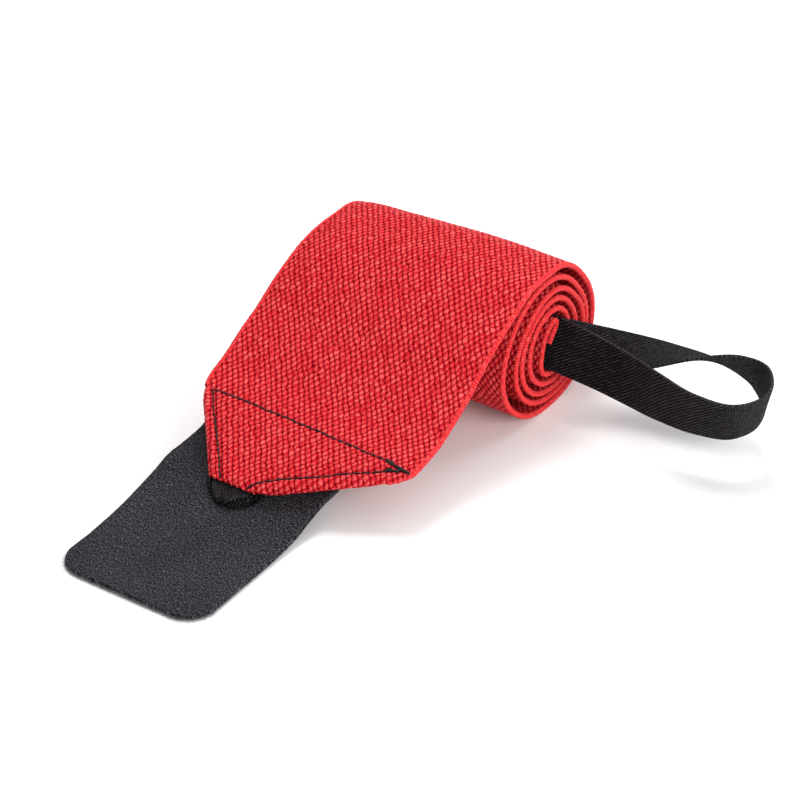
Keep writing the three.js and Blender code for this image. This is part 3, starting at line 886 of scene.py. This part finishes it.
def foldSide(side, forward):
    # One side's fold at each station: its edge, its roll's radius, its flap's width and the direction
    # out of the fold line on the flat cloth.
    start, blunt = foldEnds(side)
    share = (forward - start) / (run["reach"] - start)
    startAlong = np.interp(-start / run["reach"], finePlaces, fineLength)
    line = unit(np.array([side * band["width"] / 2 - blunt, startAlong]))
    slant = math.hypot(band["width"] / 2 * side - blunt, run["reach"] - start) / (run["reach"] - start)
    roll = band["thick"] + tip["foldGap"] / 2
    radius = roll * mix(tip["rollEndThin"], 1, smooth(0, tip["rollEnd"], run["reach"] - forward))
    radius = radius * mix(tip["rollStartThin"], 1, smooth(0, tip["rollStart"], forward - start))
    folded = (share > 1e-4) & (forward <= run["reach"] - 0.2)
    width = tip["flapWidth"] * np.minimum(share / tip["flapGrowth"], 1 - share) - roll * slant
    edge = edgeAt(side, forward)
    return {
        "side": side, "folded": folded[:, None], "slant": slant, "radius": radius[:, None],
        "width": np.maximum(width, band["thick"] / 4)[:, None],
        "inner": np.where(folded, edge - side * radius * slant, edge)[:, None],
        "out": side * np.array([line[1], -line[0]]),
    }


def foldColumns(info, along, face, bendCount, flapCount):
    # The roll is a half circle of the sheet's outer or inner radius, and the flap runs back from it.
    # On the flat cloth a point is as far outside the fold line as the middle layer's length past it,
    # so the knots on the roll are stretched.
    side, slant, radius = info["side"], info["slant"], info["radius"]
    turn = np.linspace(0, math.pi, bendCount + 1)[1:]
    share = np.linspace(0, 1, flapCount + 1)[1:]
    own = radius if face > 0 else radius * tip["foldGap"] / 2 / (band["thick"] + tip["foldGap"] / 2)
    middle = band["thick"] / 2 - radius
    bendReach = own * np.sin(turn)
    flapReach = -info["width"] * share / slant
    reach = np.concatenate([bendReach, flapReach], axis=1)
    above = middle + np.concatenate([own * np.cos(turn), -own * np.ones_like(flapReach)], axis=1)
    taken = radius * tip["rollTaken"]
    past = np.concatenate([taken * turn, taken * math.pi - flapReach], axis=1)
    nx = np.concatenate([side * np.sin(turn), 0 * share])
    na = np.concatenate([np.cos(turn), -np.ones_like(share)])
    slide = side * slant * np.array([1.0, 0.0]) - info["out"]
    flat = onCloth(info["inner"], along[:, None]) + slide * reach[..., None] + info["out"] * past[..., None]
    x = info["inner"] + side * slant * reach
    return {
        "x": x, "above": above, "flatX": flat[..., 0], "flatY": flat[..., 1],
        "nx": np.broadcast_to(nx * face, x.shape), "na": np.broadcast_to(na * face, x.shape),
    }


def topColumns(left, right, along, face, count, crowd):
    # even columns from the left edge to the right, or crowded towards both edges
    share = np.linspace(0, 1, count)
    share = share - crowd * np.sin(2 * np.pi * share) / (2 * np.pi)
    x = mix(left, right, share)
    return {
        "x": x, "above": np.full_like(x, face * band["thick"] / 2), "flatX": x,
        "flatY": np.broadcast_to(along[:, None], x.shape),
        "nx": np.zeros_like(x), "na": np.full_like(x, face),
    }


def nearFold(x, info):
    # 1 on a roll and falling off on both sides of it, growing with the roll from the fold's corner
    inside = np.abs(x - info["inner"]) / info["slant"]
    grown = smooth(tip["puffFrom"], tip["puffTo"], info["radius"])
    return np.exp(-(inside / tip["puffWide"]) ** 2) * info["folded"] * grown


def swelling(columns, folds, along):
    # folded edges swell, the cloth dips along each line of stitches, and rounds off at its cut end
    near = sum(nearFold(columns["x"], info) for info in folds)
    swell = near * np.clip(columns["na"] + 0.6, 0, 1) * tip["puff"]
    upward = columns["na"] > 0.9
    swell = swell - grooves(columns["x"], along[:, None]) * upward
    return swell - tip["endRound"] * (1 - smooth(0, tip["endLong"], along))[:, None] * upward


def makeBandPiece(name, spans, outerCounts, innerCounts, crowd=0, folded=False):
    # Rings of the sheet: the outer side from the left flap over the top to the right flap, and the
    # inner side back again. Where nothing is folded, a fold's points share the selvedge's number.
    places, along = bandPlaces(spans)
    forward = -np.minimum(places, 0) * run["reach"]
    folds = [foldSide(side, forward) for side in (-1, 1)] if folded else []
    half = np.full((len(places), 1), band["width"] / 2)
    left, right = (folds[0]["inner"], folds[1]["inner"]) if folded else (-half, half)
    faces, numbers = [], []
    for face, (topCount, bendCount, flapCount) in ((1, outerCounts), (-1, innerCounts)):
        columns = topColumns(left, right, along, face, topCount, crowd)
        number = np.broadcast_to(np.arange(topCount), columns["x"].shape)
        if folded:
            leftFold, rightFold = [foldColumns(info, along, face, bendCount, flapCount) for info in folds]
            extra = bendCount + flapCount
            columns = {key: np.concatenate([leftFold[key][:, ::-1], columns[key], rightFold[key]], axis=1)
                       for key in columns}
            number = np.broadcast_to(np.arange(topCount + 2 * extra), columns["x"].shape)
            number = np.where(~folds[0]["folded"] & (number < extra), extra, number)
            last = extra + topCount - 1
            number = np.where(~folds[1]["folded"] & (number > last), last, number)
        columns["u"], columns["w"] = flatCells(columns["flatX"], columns["flatY"])
        columns["lift"] = (weaveRelief(columns["u"], columns["w"]) - 1) * band["relief"]
        if folded and face > 0:
            opened = sum(nearFold(columns["x"], info) for info in folds)
            columns["lift"] = columns["lift"] * (1 + tip["openKnots"] * opened)
            columns["lift"] = columns["lift"] + swelling(columns, folds, along)
        if face < 0:
            columns = {key: values[:, ::-1] for key, values in columns.items()}
            number = numbers[0].shape[1] + number.shape[1] - 1 - number[:, ::-1]
        faces.append(columns)
        numbers.append(number)
    ring = {key: np.concatenate([faces[0][key], faces[1][key]], axis=1) for key in faces[0]}
    points = onBand(places, ring["x"] + ring["nx"] * ring["lift"], ring["above"] + ring["na"] * ring["lift"])
    number = np.concatenate(numbers, axis=1)
    index = np.arange(len(places))[:, None] * number.shape[1] + number
    return putPiece(name, points, tubeFaces(index), redWeave, onCloth(ring["u"], ring["w"]))


selvedge = {
    "radius": 0.88,
    "flat": 0.85,         # its width as a share of its height
    "inset": 0.55,        # from the band's edge to its middle line
    "rib": 0.8,           # length of one rib
    "ripple": 0.03,       # how far the ribs show
    "knots": 0.15,        # how far the weave's knots show in it on the run
    "knotsPlace": (-0.1, -0.4),  # where they start and where they show fully
    "lap": 3.0,           # how far it goes on past a fold's corner
    "sinkPlace": (-1.5, 2.5),    # it sinks under the fold between these, counted from the corner
    "sink": 1.3,
    "step": 0.27,         # between two rings
    "around": 9,          # points in a ring
}


def makeSelvedge(name, side):
    # A half-round cord along the band's edge, its radius rippling once a rib, and once a knot on the
    # run. It follows the corner's rounding and sinks under the fold.
    corner = foldEnds(side)[0]
    places, along = bandPlaces([(-(corner + selvedge["lap"]) / run["reach"], bandEnd, selvedge["step"])])
    turn = np.linspace(0, 2 * np.pi, selvedge["around"], endpoint=False)
    forward = -np.minimum(places, 0) * run["reach"]
    under = smooth(corner + selvedge["sinkPlace"][0], corner + selvedge["sinkPlace"][1], forward)[:, None]
    knotted = selvedge["knots"] * smooth(*selvedge["knotsPlace"], places)
    ripple = 1 + selvedge["ripple"] * np.cos(2 * np.pi * along / selvedge["rib"])
    ripple = (ripple + knotted * np.cos(4 * np.pi * along / band["cellLong"]))[:, None]
    radius = selvedge["radius"] * ripple
    x = edgeAt(side, forward)[:, None] - side * (selvedge["inset"] + under)
    x = x + side * radius * selvedge["flat"] * np.cos(turn)
    points = onBand(places, x, radius * np.sin(turn) - selvedge["sink"] * under)
    flat = onCloth(turn / (2 * np.pi), along[:, None] / selvedge["rib"])
    return putPiece(name, points, tubeFaces(gridIndex(x)), redRim, flat)


tipPlace = -0.735  # the finer stations of the tip end before both folds' corners
backPlace = 3.0    # the run's piece ends low at the coil's back
turnPlace = 9.0    # the outer turn's piece ends past the top, under the run
coarse = band["cellLong"] / 5   # five stations to a repeat of the weave, and ten on the tip
runPiece = makeBandPiece("elasticRun", [(-1, tipPlace, coarse / 2), (tipPlace, backPlace, coarse)],
                         (191, 14, 22), (39, 5, 8), folded=True)
outerPiece = makeBandPiece("elasticOuterTurn", [(backPlace, turnPlace, coarse)], (191, 0, 0), (77, 0, 0))
innerPiece = makeBandPiece("elasticInnerTurns", [(turnPlace, bandEnd, coarse)], (79, 0, 0), (79, 0, 0),
                           crowd=0.7)
makeSelvedge("selvedgeRight", 1)
makeSelvedge("selvedgeLeft", -1)
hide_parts("elastic_band")


print("band made")

# Threads


def makeThreads(name, starts, ends, ups, radius, material, lift=0.0):
    # Each stitch is a spindle from its start to its end, thin at both and a little raised between.
    rings, around = 9, 6
    t = np.linspace(-1, 1, rings)[None, :, None, None]
    turn = np.linspace(0, 2 * np.pi, around, endpoint=False)[None, None, :, None]
    starts, ends, ups = [np.asarray(values, float)[:, None, None, :] for values in (starts, ends, ups)]
    along = unit(ends - starts)
    side = unit(np.cross(along, ups))
    above = np.cross(side, along)
    thin = np.sqrt(np.clip(1 - np.abs(t) ** 3, 0.04, 1)) * radius
    centre = (starts + ends) / 2 + (ends - starts) / 2 * t + above * (lift * (1 - t**2) - radius * 0.4)
    points = centre + side * thin * np.cos(turn) + above * thin * np.sin(turn)
    index = gridIndex(points[..., 0])
    following = np.roll(index, -1, axis=2)
    quads = np.stack([index[:, :-1], index[:, 1:], following[:, 1:], following[:, :-1]], axis=-1)
    faces = [quads.reshape(-1, 4), index[:, 0], index[:, -1, ::-1]]
    return putPiece(name, points, faces, material)


def onTop(x, along, above):
    # points a little above the tip's top as it swells and dips, and the direction out of it
    places = np.interp(along, fineLength, finePlaces)
    folds = [foldSide(side, -places * run["reach"]) for side in (-1, 1)]
    columns = {"x": x[:, None], "na": np.ones((len(x), 1))}
    top = swelling(columns, folds, along) + band["thick"] / 2 + above
    low = onBand(places, x[:, None], top)[:, 0]
    high = onBand(places, x[:, None], top + 1)[:, 0]
    return low, high - low


stitch = {
    "length": 2.7,
    "gap": 0.02,
    "radius": 0.28,
    "above": 0.1,
    "waver": 0.22,        # how far the line strays sideways
    "waverTurns": (2.4, 0.9),
    "arch": 0.12,         # how far a stitch's middle rises
}


def stitchesOn(path):
    # starts and ends of the stitches along a chain of straight stretches, wandering a little sideways
    points = np.array(path, float)
    reach = lineLength(points)
    count = int(reach[-1] // (stitch["length"] + stitch["gap"]))
    edges = np.linspace(0, reach[-1] - stitch["gap"], count + 1)
    number = np.arange(count + 1)
    quick, slow = stitch["waverTurns"]
    sideways = stitch["waver"] * np.sin(number * quick) * np.cos(number * slow)
    (startX, startAlong), (endX, endAlong) = [onLine(at, reach, points).T
                                              for at in (edges[:-1], edges[1:] - stitch["gap"])]
    starts, ups = onTop(startX, startAlong + sideways[:-1], stitch["above"])
    ends, _ = onTop(endX, endAlong + sideways[1:], stitch["above"])
    return starts, ends, ups


def makeTipStitches():
    parts = [stitchesOn(line["path"]) for line in stitchLines.values()]
    starts, ends, ups = [np.concatenate(group) for group in zip(*parts)]
    return makeThreads("tipStitches", starts, ends, ups, stitch["radius"], threadBlack, stitch["arch"])


# Stitches piled over each other where the lines meet at the right fold: half along the cross line, some
# along the right line, and some across them. The middles of each kind lie between its first x and
# distance from the blunt end and its second.
bartack = {
    "count": 36,
    "kinds": [
        [27.8, 26.6, 36.2, 25.0, -0.2],   # the last value is the angle
        [27.8, 26.6, 36.2, 25.0, -0.2],
        [30.0, 23.4, 34.0, 25.3, 0.5],
        [33.2, 24.6, 33.2, 24.6, 1.5],
    ],
    "shortest": 1.5,
    "longest": 2.6,
    "lastLong": 1.4,      # length of the last kind
    "stray": (0.15, 0.2),
    "turned": 0.15,
    "radius": 0.38,
    "above": 0.25,
    "arch": 0.15,
}


def makeBartack():
    # each stitch runs half its length both ways from its middle, at its kind's angle, all a little random
    rng = np.random.default_rng(11)
    count = bartack["count"]
    share = rng.uniform(0, 1, count)
    kind = np.arange(count) % len(bartack["kinds"])
    startX, startAlong, endX, endAlong, angle = np.array(bartack["kinds"])[kind].T
    angle = angle + rng.normal(0, bartack["turned"], count)
    length = rng.uniform(bartack["shortest"], bartack["longest"], count)
    length = np.where(kind == kind.max(), bartack["lastLong"], length)
    x = mix(startX, endX, share) + rng.normal(0, bartack["stray"][0], count)
    along = mix(startAlong, endAlong, share) + rng.normal(0, bartack["stray"][1], count)
    across, ahead = np.cos(angle) * length / 2, np.sin(angle) * length / 2
    starts, ups = onTop(x - across, along - ahead, bartack["above"])
    ends, _ = onTop(x + across, along + ahead, bartack["above"])
    return makeThreads("tipBartack", starts, ends, ups, bartack["radius"], threadBlack, bartack["arch"])


makeTipStitches()
makeBartack()
print("stitches made")

# Hook tab


def runHeight(x, forward):
    # height of the run's middle layer at a distance from the coil, between its two selvedges
    share = forward / run["reach"]
    tops = [selvedgeLine(side, np.zeros(1))[0, 1] for side in (-1, 1)]
    return mix(fromRows(runRows, 2, share) * tops[0], fromRows(runRows, 1, share) * tops[1],
               x / band["width"] + 0.5)


tapeCentre = tip["centre"] + foldTape["shift"]


def noseShape():
    # middle (y, z) and radius of the webbing fold's nose
    middle = runHeight(tapeCentre, run["reach"])
    slope = middle - runHeight(tapeCentre, run["reach"] - 1)
    radius = foldTape["bulge"] + foldTape["thick"] / 2
    top = middle - band["thick"] / 2 - tab["seatGap"] + slope * foldTape["nose"] / 3
    return -run["reach"] - foldTape["nose"] + radius, top - radius, radius


def noseWide(forward):
    # width of the webbing fold at a distance from the coil, rounding off towards its nose
    out = np.clip((forward - run["reach"]) / foldTape["nose"], 0, 1)
    wide = foldTape["width"] * (foldTape["narrow"] - foldTape["pinch"] * out)
    return wide * np.sqrt(1 - (foldTape["dome"] * out) ** 2)


def tabTop(x, along):
    # The tab's table between its two edges with a sag in the middle, kept under the flaps and under
    # the webbing fold. Beside and past them it may rise at up to 45 degrees.
    share = along / tab["length"]
    forward = run["reach"] - tab["overlap"] + along
    folded = band["thick"] * 1.5 + tip["foldGap"]
    under = runHeight(x, np.minimum(forward, run["reach"] - tip["foldEnd"])) - folded
    seat = runHeight(tip["centre"], run["reach"] - tip["foldEnd"]) - folded - tab["seatGap"] - tab["thick"]
    right = fromRows(tabRows, 1, share) * seat
    left = fromRows(tabRows, 2, share) * seat
    across = (x - tip["centre"] - tab["shift"]) / tab["width"] + 0.5
    lifted = np.clip((left + right) / 2 / seat, 0, 1)
    sag = tab["sag"] * lifted * 4 * across * (1 - across)
    free = np.maximum(mix(left, right, across) - sag, 0) + tab["thick"]
    _, noseZ, noseRadius = noseShape()
    stack = 2 * foldTape["thick"] + foldTape["gap"]
    tape = runHeight(x, np.minimum(forward, run["reach"])) - band["thick"] / 2 - tab["seatGap"] - stack
    lowest = np.where(forward > run["reach"] - tip["foldEnd"], np.minimum(tape, noseZ - noseRadius), tape)
    lowest = lowest - tab["tapeClear"]
    besideTape = np.maximum(np.abs(x - tapeCentre + foldTape["lean"]) - noseWide(forward) / 2, 0)
    pastTape = np.maximum(forward - run["reach"] - foldTape["nose"], 0)
    inside = np.minimum(forward, run["reach"])
    besideTip = np.maximum(np.maximum(edgeAt(-1, inside) - x, x - edgeAt(1, inside)) - 1, 0)
    pastTip = np.maximum(forward - run["reach"], 0)
    limit = softMin(under - tab["seatGap"] + besideTip + pastTip, lowest + besideTape + pastTape,
                    tab["limitRound"])
    return softMin(free, np.maximum(limit, tab["thick"]), tab["freeRound"]) + tab["freeRound"] / 4


def tabHalf(along):
    # half of the tab's width, drawn in round the two corners of the free end
    past = np.maximum(along - (tab["length"] - tab["corner"]), 0)
    return tab["width"] / 2 - tab["corner"] + np.sqrt(np.maximum(tab["corner"] ** 2 - past**2, 0))


# A tape's rounded edge: how far out and up its points are, as shares of half the thickness
edgeTurn = np.linspace(math.pi / 2, -math.pi / 2, 7)[1:-1]
edgeOut, edgeUp = np.cos(edgeTurn), np.sin(edgeTurn)


def makeTab():
    # rings of the tab from its sewn edge: the top from left to right, the edge, and the underside back
    middle = tip["centre"] + tab["shift"]
    plainRows, cornerRows = tab["rows"]
    plain = np.linspace(0, tab["length"] - tab["corner"], plainRows, endpoint=False)
    corner = tab["length"] - tab["corner"] + tab["corner"] * np.sin(np.linspace(0, math.pi / 2, cornerRows))
    along = np.concatenate([plain, corner])
    half = tabHalf(along)[:, None]
    topShare = np.linspace(-1, 1, tab["columns"][0])
    lowShare = np.linspace(1, -1, tab["columns"][1])
    edge = tab["thick"] / 2
    x = np.concatenate([(half - edge) * topShare, (half - edge) + edge * edgeOut,
                        (half - edge) * lowShare, -(half - edge) - edge * edgeOut], axis=1)
    depth = np.concatenate([0 * topShare, edge * (1 - edgeUp), tab["thick"] + 0 * lowShare,
                            edge * (1 + edgeUp)])
    seam = np.maximum(1 - (tab["length"] - along) / tab["seam"], 0)[:, None]
    depth = depth + (edge - depth) * 0.5 * seam**2
    top = tabTop(np.clip(x, -half, half) + middle, np.broadcast_to(along[:, None], x.shape))
    rng = np.random.default_rng(5)
    nap = rng.normal(0, tab["nap"], x.shape) * (depth < tab["thick"] - 0.01)   # none on the underside
    z = np.maximum(top - depth + np.minimum(nap, tab["napHighest"]), 0.0)
    y = -(run["reach"] - tab["overlap"] + along)[:, None] + 0 * x
    points = np.stack([x + middle, y, z], axis=-1)
    return putPiece("hookTab", points, tubeFaces(gridIndex(x)), tabPlush,
                    onCloth(x, along[:, None]))


fuzz = {
    "count": 3600,
    "long": 1.2,
    "short": 0.25,
    "thick": 0.03,
    "spread": 0.6,
    "from": 26.0,         # how far from the free end the fibres start
    "fewer": (22.0, 3.0),  # they are short up to the first distance and long from the second
    "shortest": 0.25,     # share of their length that is left there
    "root": 0.15,         # how deep they start
    "levels": (0.08, 1.0),   # heights over the tab's underside
    "droop": (-0.12, 0.3),   # mean slope of the fibres and how much it varies
    "bend": 0.25,
    "outline": 240,       # points on each side of the rim
}


def makeFuzz():
    # Short fibres off the rim of the tab's free end: three-sided and tapering, each with a bend.
    rng = np.random.default_rng(8)
    count = fuzz["count"]
    outline = np.linspace(tab["length"] - fuzz["from"], tab["length"], fuzz["outline"])
    half = tabHalf(outline)
    middle = tip["centre"] + tab["shift"]
    rim = np.stack([np.concatenate([middle - half, middle + half[::-1]]),
                    np.concatenate([outline, outline[::-1]])], axis=-1)
    reach = lineLength(rim)
    at = rng.uniform(0, reach[-1], count)
    nudge = 0.2
    base, ahead, behind = [onLine(at + step, reach, rim) for step in (0, nudge, -nudge)]
    tangent = unit(ahead - behind)
    outward = np.stack([-tangent[:, 1], tangent[:, 0]], axis=-1)
    level = rng.uniform(*fuzz["levels"], count)
    floorY = -(run["reach"] - tab["overlap"])
    inside = base - outward * fuzz["root"]
    top = tabTop(inside[:, 0], inside[:, 1])
    start = np.stack([inside[:, 0], floorY - inside[:, 1], top - tab["thick"] + level], axis=-1)
    out = np.stack([outward[:, 0], -outward[:, 1], rng.normal(*fuzz["droop"], count)], axis=-1)
    out = unit(out + rng.normal(0, fuzz["spread"], out.shape) * [1, 1, 0.4])
    endShare = smooth(tab["length"] - fuzz["fewer"][0], tab["length"] - fuzz["fewer"][1], base[:, 1])
    length = mix(fuzz["short"], fuzz["long"], rng.uniform(0, 1, count) ** 2)
    length = length * mix(fuzz["shortest"], 1, endShare)
    bend = rng.normal(0, fuzz["bend"], out.shape) * length[:, None]
    middlePoint = start + out * length[:, None] * 0.5 + bend * 0.4
    end = start + out * length[:, None] + bend
    middlePoint[:, 2] = np.maximum(middlePoint[:, 2], 0.05)
    end[:, 2] = np.maximum(end[:, 2], 0.03)
    side = unit(np.cross(out, [0, 0, 1.0]))
    above = np.cross(side, out)
    turn = np.array([0, 2, 4]) * math.pi / 3
    ring = side[:, None] * np.cos(turn)[None, :, None] + above[:, None] * np.sin(turn)[None, :, None]
    ring = ring * fuzz["thick"]
    points = np.concatenate([start[:, None] + ring, middlePoint[:, None] + ring * 0.8, end[:, None]], axis=1)
    points[..., 2] = np.maximum(points[..., 2], 0.0)
    first = np.arange(count)[:, None] * 7     # three points at the root, three half way and the end
    quads = np.concatenate([first + [a, b, b + 3, a + 3] for a, b in ((0, 1), (1, 2), (2, 0))])
    tapered = [first + [a + 3, b + 3, 6] for a, b in ((0, 1), (1, 2), (2, 0))]
    ends = np.concatenate(tapered + [first + [2, 1, 0]])
    return putPiece("tabFuzz", points, [quads, ends], fuzzGrey)


tabPiece = makeTab()
makeFuzz()
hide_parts("hook_tab")
print("tab made")

# Tapes

tape = {
    "perSpan": 60,        # points of the fine line between two given ones
    "bead": 0.8,          # length of one bead of its edge
    "beadHigh": 0.14,
    "thumbStep": 0.36,    # between two rings
    "thumbColumns": 60,   # points across each face
    "foldStep": 0.22,
    "foldColumns": 116,
}


def centripetal(points):
    # Smooth line through the points, its slopes weighed by the square roots of the distances.
    # It gives the line and each point's place counted in given points.
    padded = np.concatenate([[2 * points[0] - points[1]], points, [2 * points[-1] - points[-2]]])
    before, start, end, after = padded[:-3], padded[1:-2], padded[2:-1], padded[3:]
    gaps = [np.maximum(np.linalg.norm(b - a, axis=1) ** 0.5, 1e-4)[:, None]
            for a, b in ((before, start), (start, end), (end, after))]
    first = (start - before) / gaps[0] - (end - before) / (gaps[0] + gaps[1]) + (end - start) / gaps[1]
    last = (end - start) / gaps[1] - (after - start) / (gaps[1] + gaps[2]) + (after - end) / gaps[2]
    first, last = [(slope * gaps[1])[:, None] for slope in (first, last)]
    t = np.linspace(0, 1, tape["perSpan"], endpoint=False)[None, :, None]
    line = cubic(start[:, None], end[:, None], first, last, t)
    place = np.arange(len(points) - 1)[:, None] + t[0, :, 0]
    return np.concatenate([line.reshape(-1, 3), points[-1:]]), np.append(place.ravel(), len(points) - 1.0)


def evenSteps(line, place, step):
    # the same line at even steps of length
    length = lineLength(line)
    wanted = np.linspace(0, length[-1], int(length[-1] / step) + 1)
    return onLine(wanted, length, line), np.interp(wanted, length, place), wanted


def tapeMesh(name, line, width, wide, thick, along, columns, relief, material):
    # A flat tape along a line: both faces carry the relief and both edges are rounded and beaded.
    # width is the direction across it and wide its size that way, at each ring.
    normal = np.cross(unit(np.gradient(line, axis=0)), width)
    wide = np.broadcast_to(wide, len(line))[:, None]
    share = np.linspace(-1, 1, columns)
    flatHalf = wide / 2 - thick / 2
    beads = 1 + tape["beadHigh"] * np.cos(2 * np.pi * along / tape["bead"])[:, None]
    across = np.concatenate([flatHalf * share, flatHalf + thick / 2 * edgeOut * beads,
                             flatHalf * share[::-1], -flatHalf - thick / 2 * edgeOut * beads], axis=1)
    above = np.concatenate([thick / 2 + 0 * share, thick / 2 * edgeUp, -thick / 2 + 0 * share,
                            -thick / 2 * edgeUp])
    face = np.concatenate([1 + 0 * share, 0 * edgeUp, -1 + 0 * share, 0 * edgeUp])
    lift = (relief(across, along[:, None] * np.ones_like(across)) - 1) * face
    points = (line[:, None] + width[:, None] * across[..., None]
              + normal[:, None] * (above + lift)[..., None])
    return putPiece(name, points, tubeFaces(gridIndex(across)), material,
                    onCloth(across, along[:, None]))


def twillRelief(across, along):
    # cosine ribs slanting over the tape
    angle = math.radians(thumb["twillAngle"])
    ribs = (across * math.cos(angle) - along * math.sin(angle)) / thumb["twillWide"]
    return 1 + thumb["twillHigh"] * (np.cos(2 * np.pi * ribs) - 1) / 2


def makeThumbLoop():
    # A smooth line through the rows of the table, with a straight leg into the core at either end. The
    # tape's width leans from upright by the angle in the rows.
    rows = np.array(loopRows, float)
    lean = math.radians(thumb["lean"])
    axis = axisHeight(coil["looseGap"])
    core = np.array([band["width"] / 2 + coil["coreSlip"], thumb["back"], axis + thumb["high"]])
    apart = np.array([0, math.cos(lean), -math.sin(lean)]) * (thumb["thick"] + tab["seatGap"])
    share = np.linspace(0, 1, len(rows))[:, None]
    reach = np.array([thumb["reach"], thumb["spread"], thumb["width"]])
    points = core + apart * share + rows[:, :3] * reach
    legs = np.array([1, 2 / 3, 1 / 3])[:, None] * np.array([-thumb["leg"], 0, 0])
    points = np.concatenate([points[0] + legs, points, points[-1] + legs[::-1]])
    line, place, along = evenSteps(*centripetal(points), tape["thumbStep"])
    leans = np.concatenate([np.full(3, rows[0, 3]), rows[:, 3], np.full(3, rows[-1, 3])])
    knots = np.arange(len(leans), dtype=float)
    turn = np.radians(hermite(knots, leans, chordSlopes(knots, leans), place))[:, None]
    tangent = unit(np.gradient(line, axis=0))
    up = np.array([0, 0, 1.0])
    upright = unit(up - tangent * (tangent @ up)[:, None])
    side = np.cross(tangent, upright)
    width = upright * np.cos(turn) + side * np.sin(turn)
    return tapeMesh("thumbLoop", line, width, thumb["width"], thumb["thick"], along, tape["thumbColumns"],
                    twillRelief, webbingTwill)


def ribRelief(across, along):
    # cosine ribs along the tape
    return 1 + foldTape["ribHigh"] * (np.cos(2 * np.pi * across / foldTape["ribWide"]) - 1) / 2


def makeTipWebbing():
    # out under the tip's top layer, round the nose and back in below itself
    noseY, noseZ, _ = noseShape()
    level = -band["thick"] / 2 - tab["seatGap"] - foldTape["thick"] / 2
    lower = level - foldTape["thick"] - foldTape["gap"]
    reach, depth = run["reach"], foldTape["depth"]

    def under(forward, above):
        place = onBand(np.array([-forward / reach]), np.array([[tapeCentre]]), np.array([[above]]))[0, 0]
        return [0, place[1], place[2]]

    angles = np.radians([60, 20, -20, -60])
    bulge = foldTape["bulge"]
    nose = [[0, noseY - bulge * math.cos(a), noseZ + bulge * math.sin(a)] for a in angles]
    points = np.array([under(forward, level) for forward in (reach - depth, reach - depth / 2, reach)] + nose
                      + [under(forward, lower) for forward in (reach, reach - depth / 2, reach - depth)])
    line, _, along = evenSteps(*centripetal(points), tape["foldStep"])
    line[:, 0] = tapeCentre - foldTape["lean"]
    across = np.broadcast_to(np.array([1.0, 0, 0]), line.shape)
    return tapeMesh("tipWebbing", line, across, noseWide(-line[:, 1]), foldTape["thick"], along,
                    tape["foldColumns"], ribRelief, webbingRibbed)


loopPiece = makeThumbLoop()
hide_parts("thumb_loop")
tipTape = makeTipWebbing()
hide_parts("tip_webbing")
print("tapes made")

# Camera, floor and light

cameraFit = {
    "azimuth": 34.41,
    "elevation": 33.45,
    "distance": 900.0,
    "aim": (-1.17, -23.68, 0.0),   # point of the floor in the middle of the picture
    "focalPixels": 2979.0,
    "picture": 800.0,
}


def makeCamera():
    # at its distance from the aim, turned to the right by the azimuth and raised by the elevation
    azimuth = math.radians(cameraFit["azimuth"])
    elevation = math.radians(cameraFit["elevation"])
    back = np.array([math.sin(azimuth) * math.cos(elevation), -math.cos(azimuth) * math.cos(elevation),
                     math.sin(elevation)])
    data = bpy.data.cameras.new("photoCamera")
    data.sensor_width = 36
    data.lens = 36 * cameraFit["focalPixels"] / cameraFit["picture"]
    data.clip_start, data.clip_end = 0.05, 20
    camera = bpy.data.objects.new("photoCamera", data)
    bpy.context.scene.collection.objects.link(camera)
    place = (np.array(cameraFit["aim"]) + shift + back * cameraFit["distance"]) * mm
    camera.location = place.tolist()
    camera.rotation_euler = Vector((-back).tolist()).to_track_quat("-Z", "Y").to_euler()
    bpy.context.scene.camera = camera


studio = {
    "floor": (0.93, 0.93, 0.93, 1),
    "floorRough": 0.9,
    "floorHalf": 4.0,     # half of its side in metres
    "world": 0.55,
    "key": {"place": (-0.4, 0.35, 1.15), "size": 0.5, "power": 9},
    "fill": {"place": (1.1, -0.3, 0.5), "size": 0.8, "power": 13},
    "rim": {"place": (0.25, 0.9, 0.8), "size": 0.8, "power": 5},
}


def makeStudio():
    # a white world, three soft square lamps that face the origin, and the floor
    world = bpy.data.worlds.new("studio")
    world.use_nodes = True
    world.node_tree.nodes["Background"].inputs["Color"].default_value = (1, 1, 1, 1)
    world.node_tree.nodes["Background"].inputs["Strength"].default_value = studio["world"]
    bpy.context.scene.world = world
    for name in ("key", "fill", "rim"):
        values = studio[name]
        data = bpy.data.lights.new(name, "AREA")
        data.energy = values["power"]
        data.size = values["size"]
        lamp = bpy.data.objects.new(name, data)
        lamp.location = values["place"]
        lamp.rotation_euler = Vector(values["place"]).to_track_quat("Z", "Y").to_euler()
        bpy.context.scene.collection.objects.link(lamp)
    half = studio["floorHalf"]
    mesh = bpy.data.meshes.new("floor")
    corners = [(-half, -half, 0), (half, -half, 0), (half, half, 0), (-half, half, 0)]
    mesh.from_pydata(corners, [], [(0, 1, 2, 3)])
    floor = bpy.data.objects.new("floor", mesh)
    bpy.context.scene.collection.objects.link(floor)
    material, _, shader = newMaterial("paleFloor", 0.2)
    shader.inputs["Base Color"].default_value = studio["floor"]
    shader.inputs["Roughness"].default_value = studio["floorRough"]
    mesh.materials.append(material)


makeCamera()
makeStudio()
bpy.context.scene.view_settings.view_transform = "Standard"
print("camera and studio made")
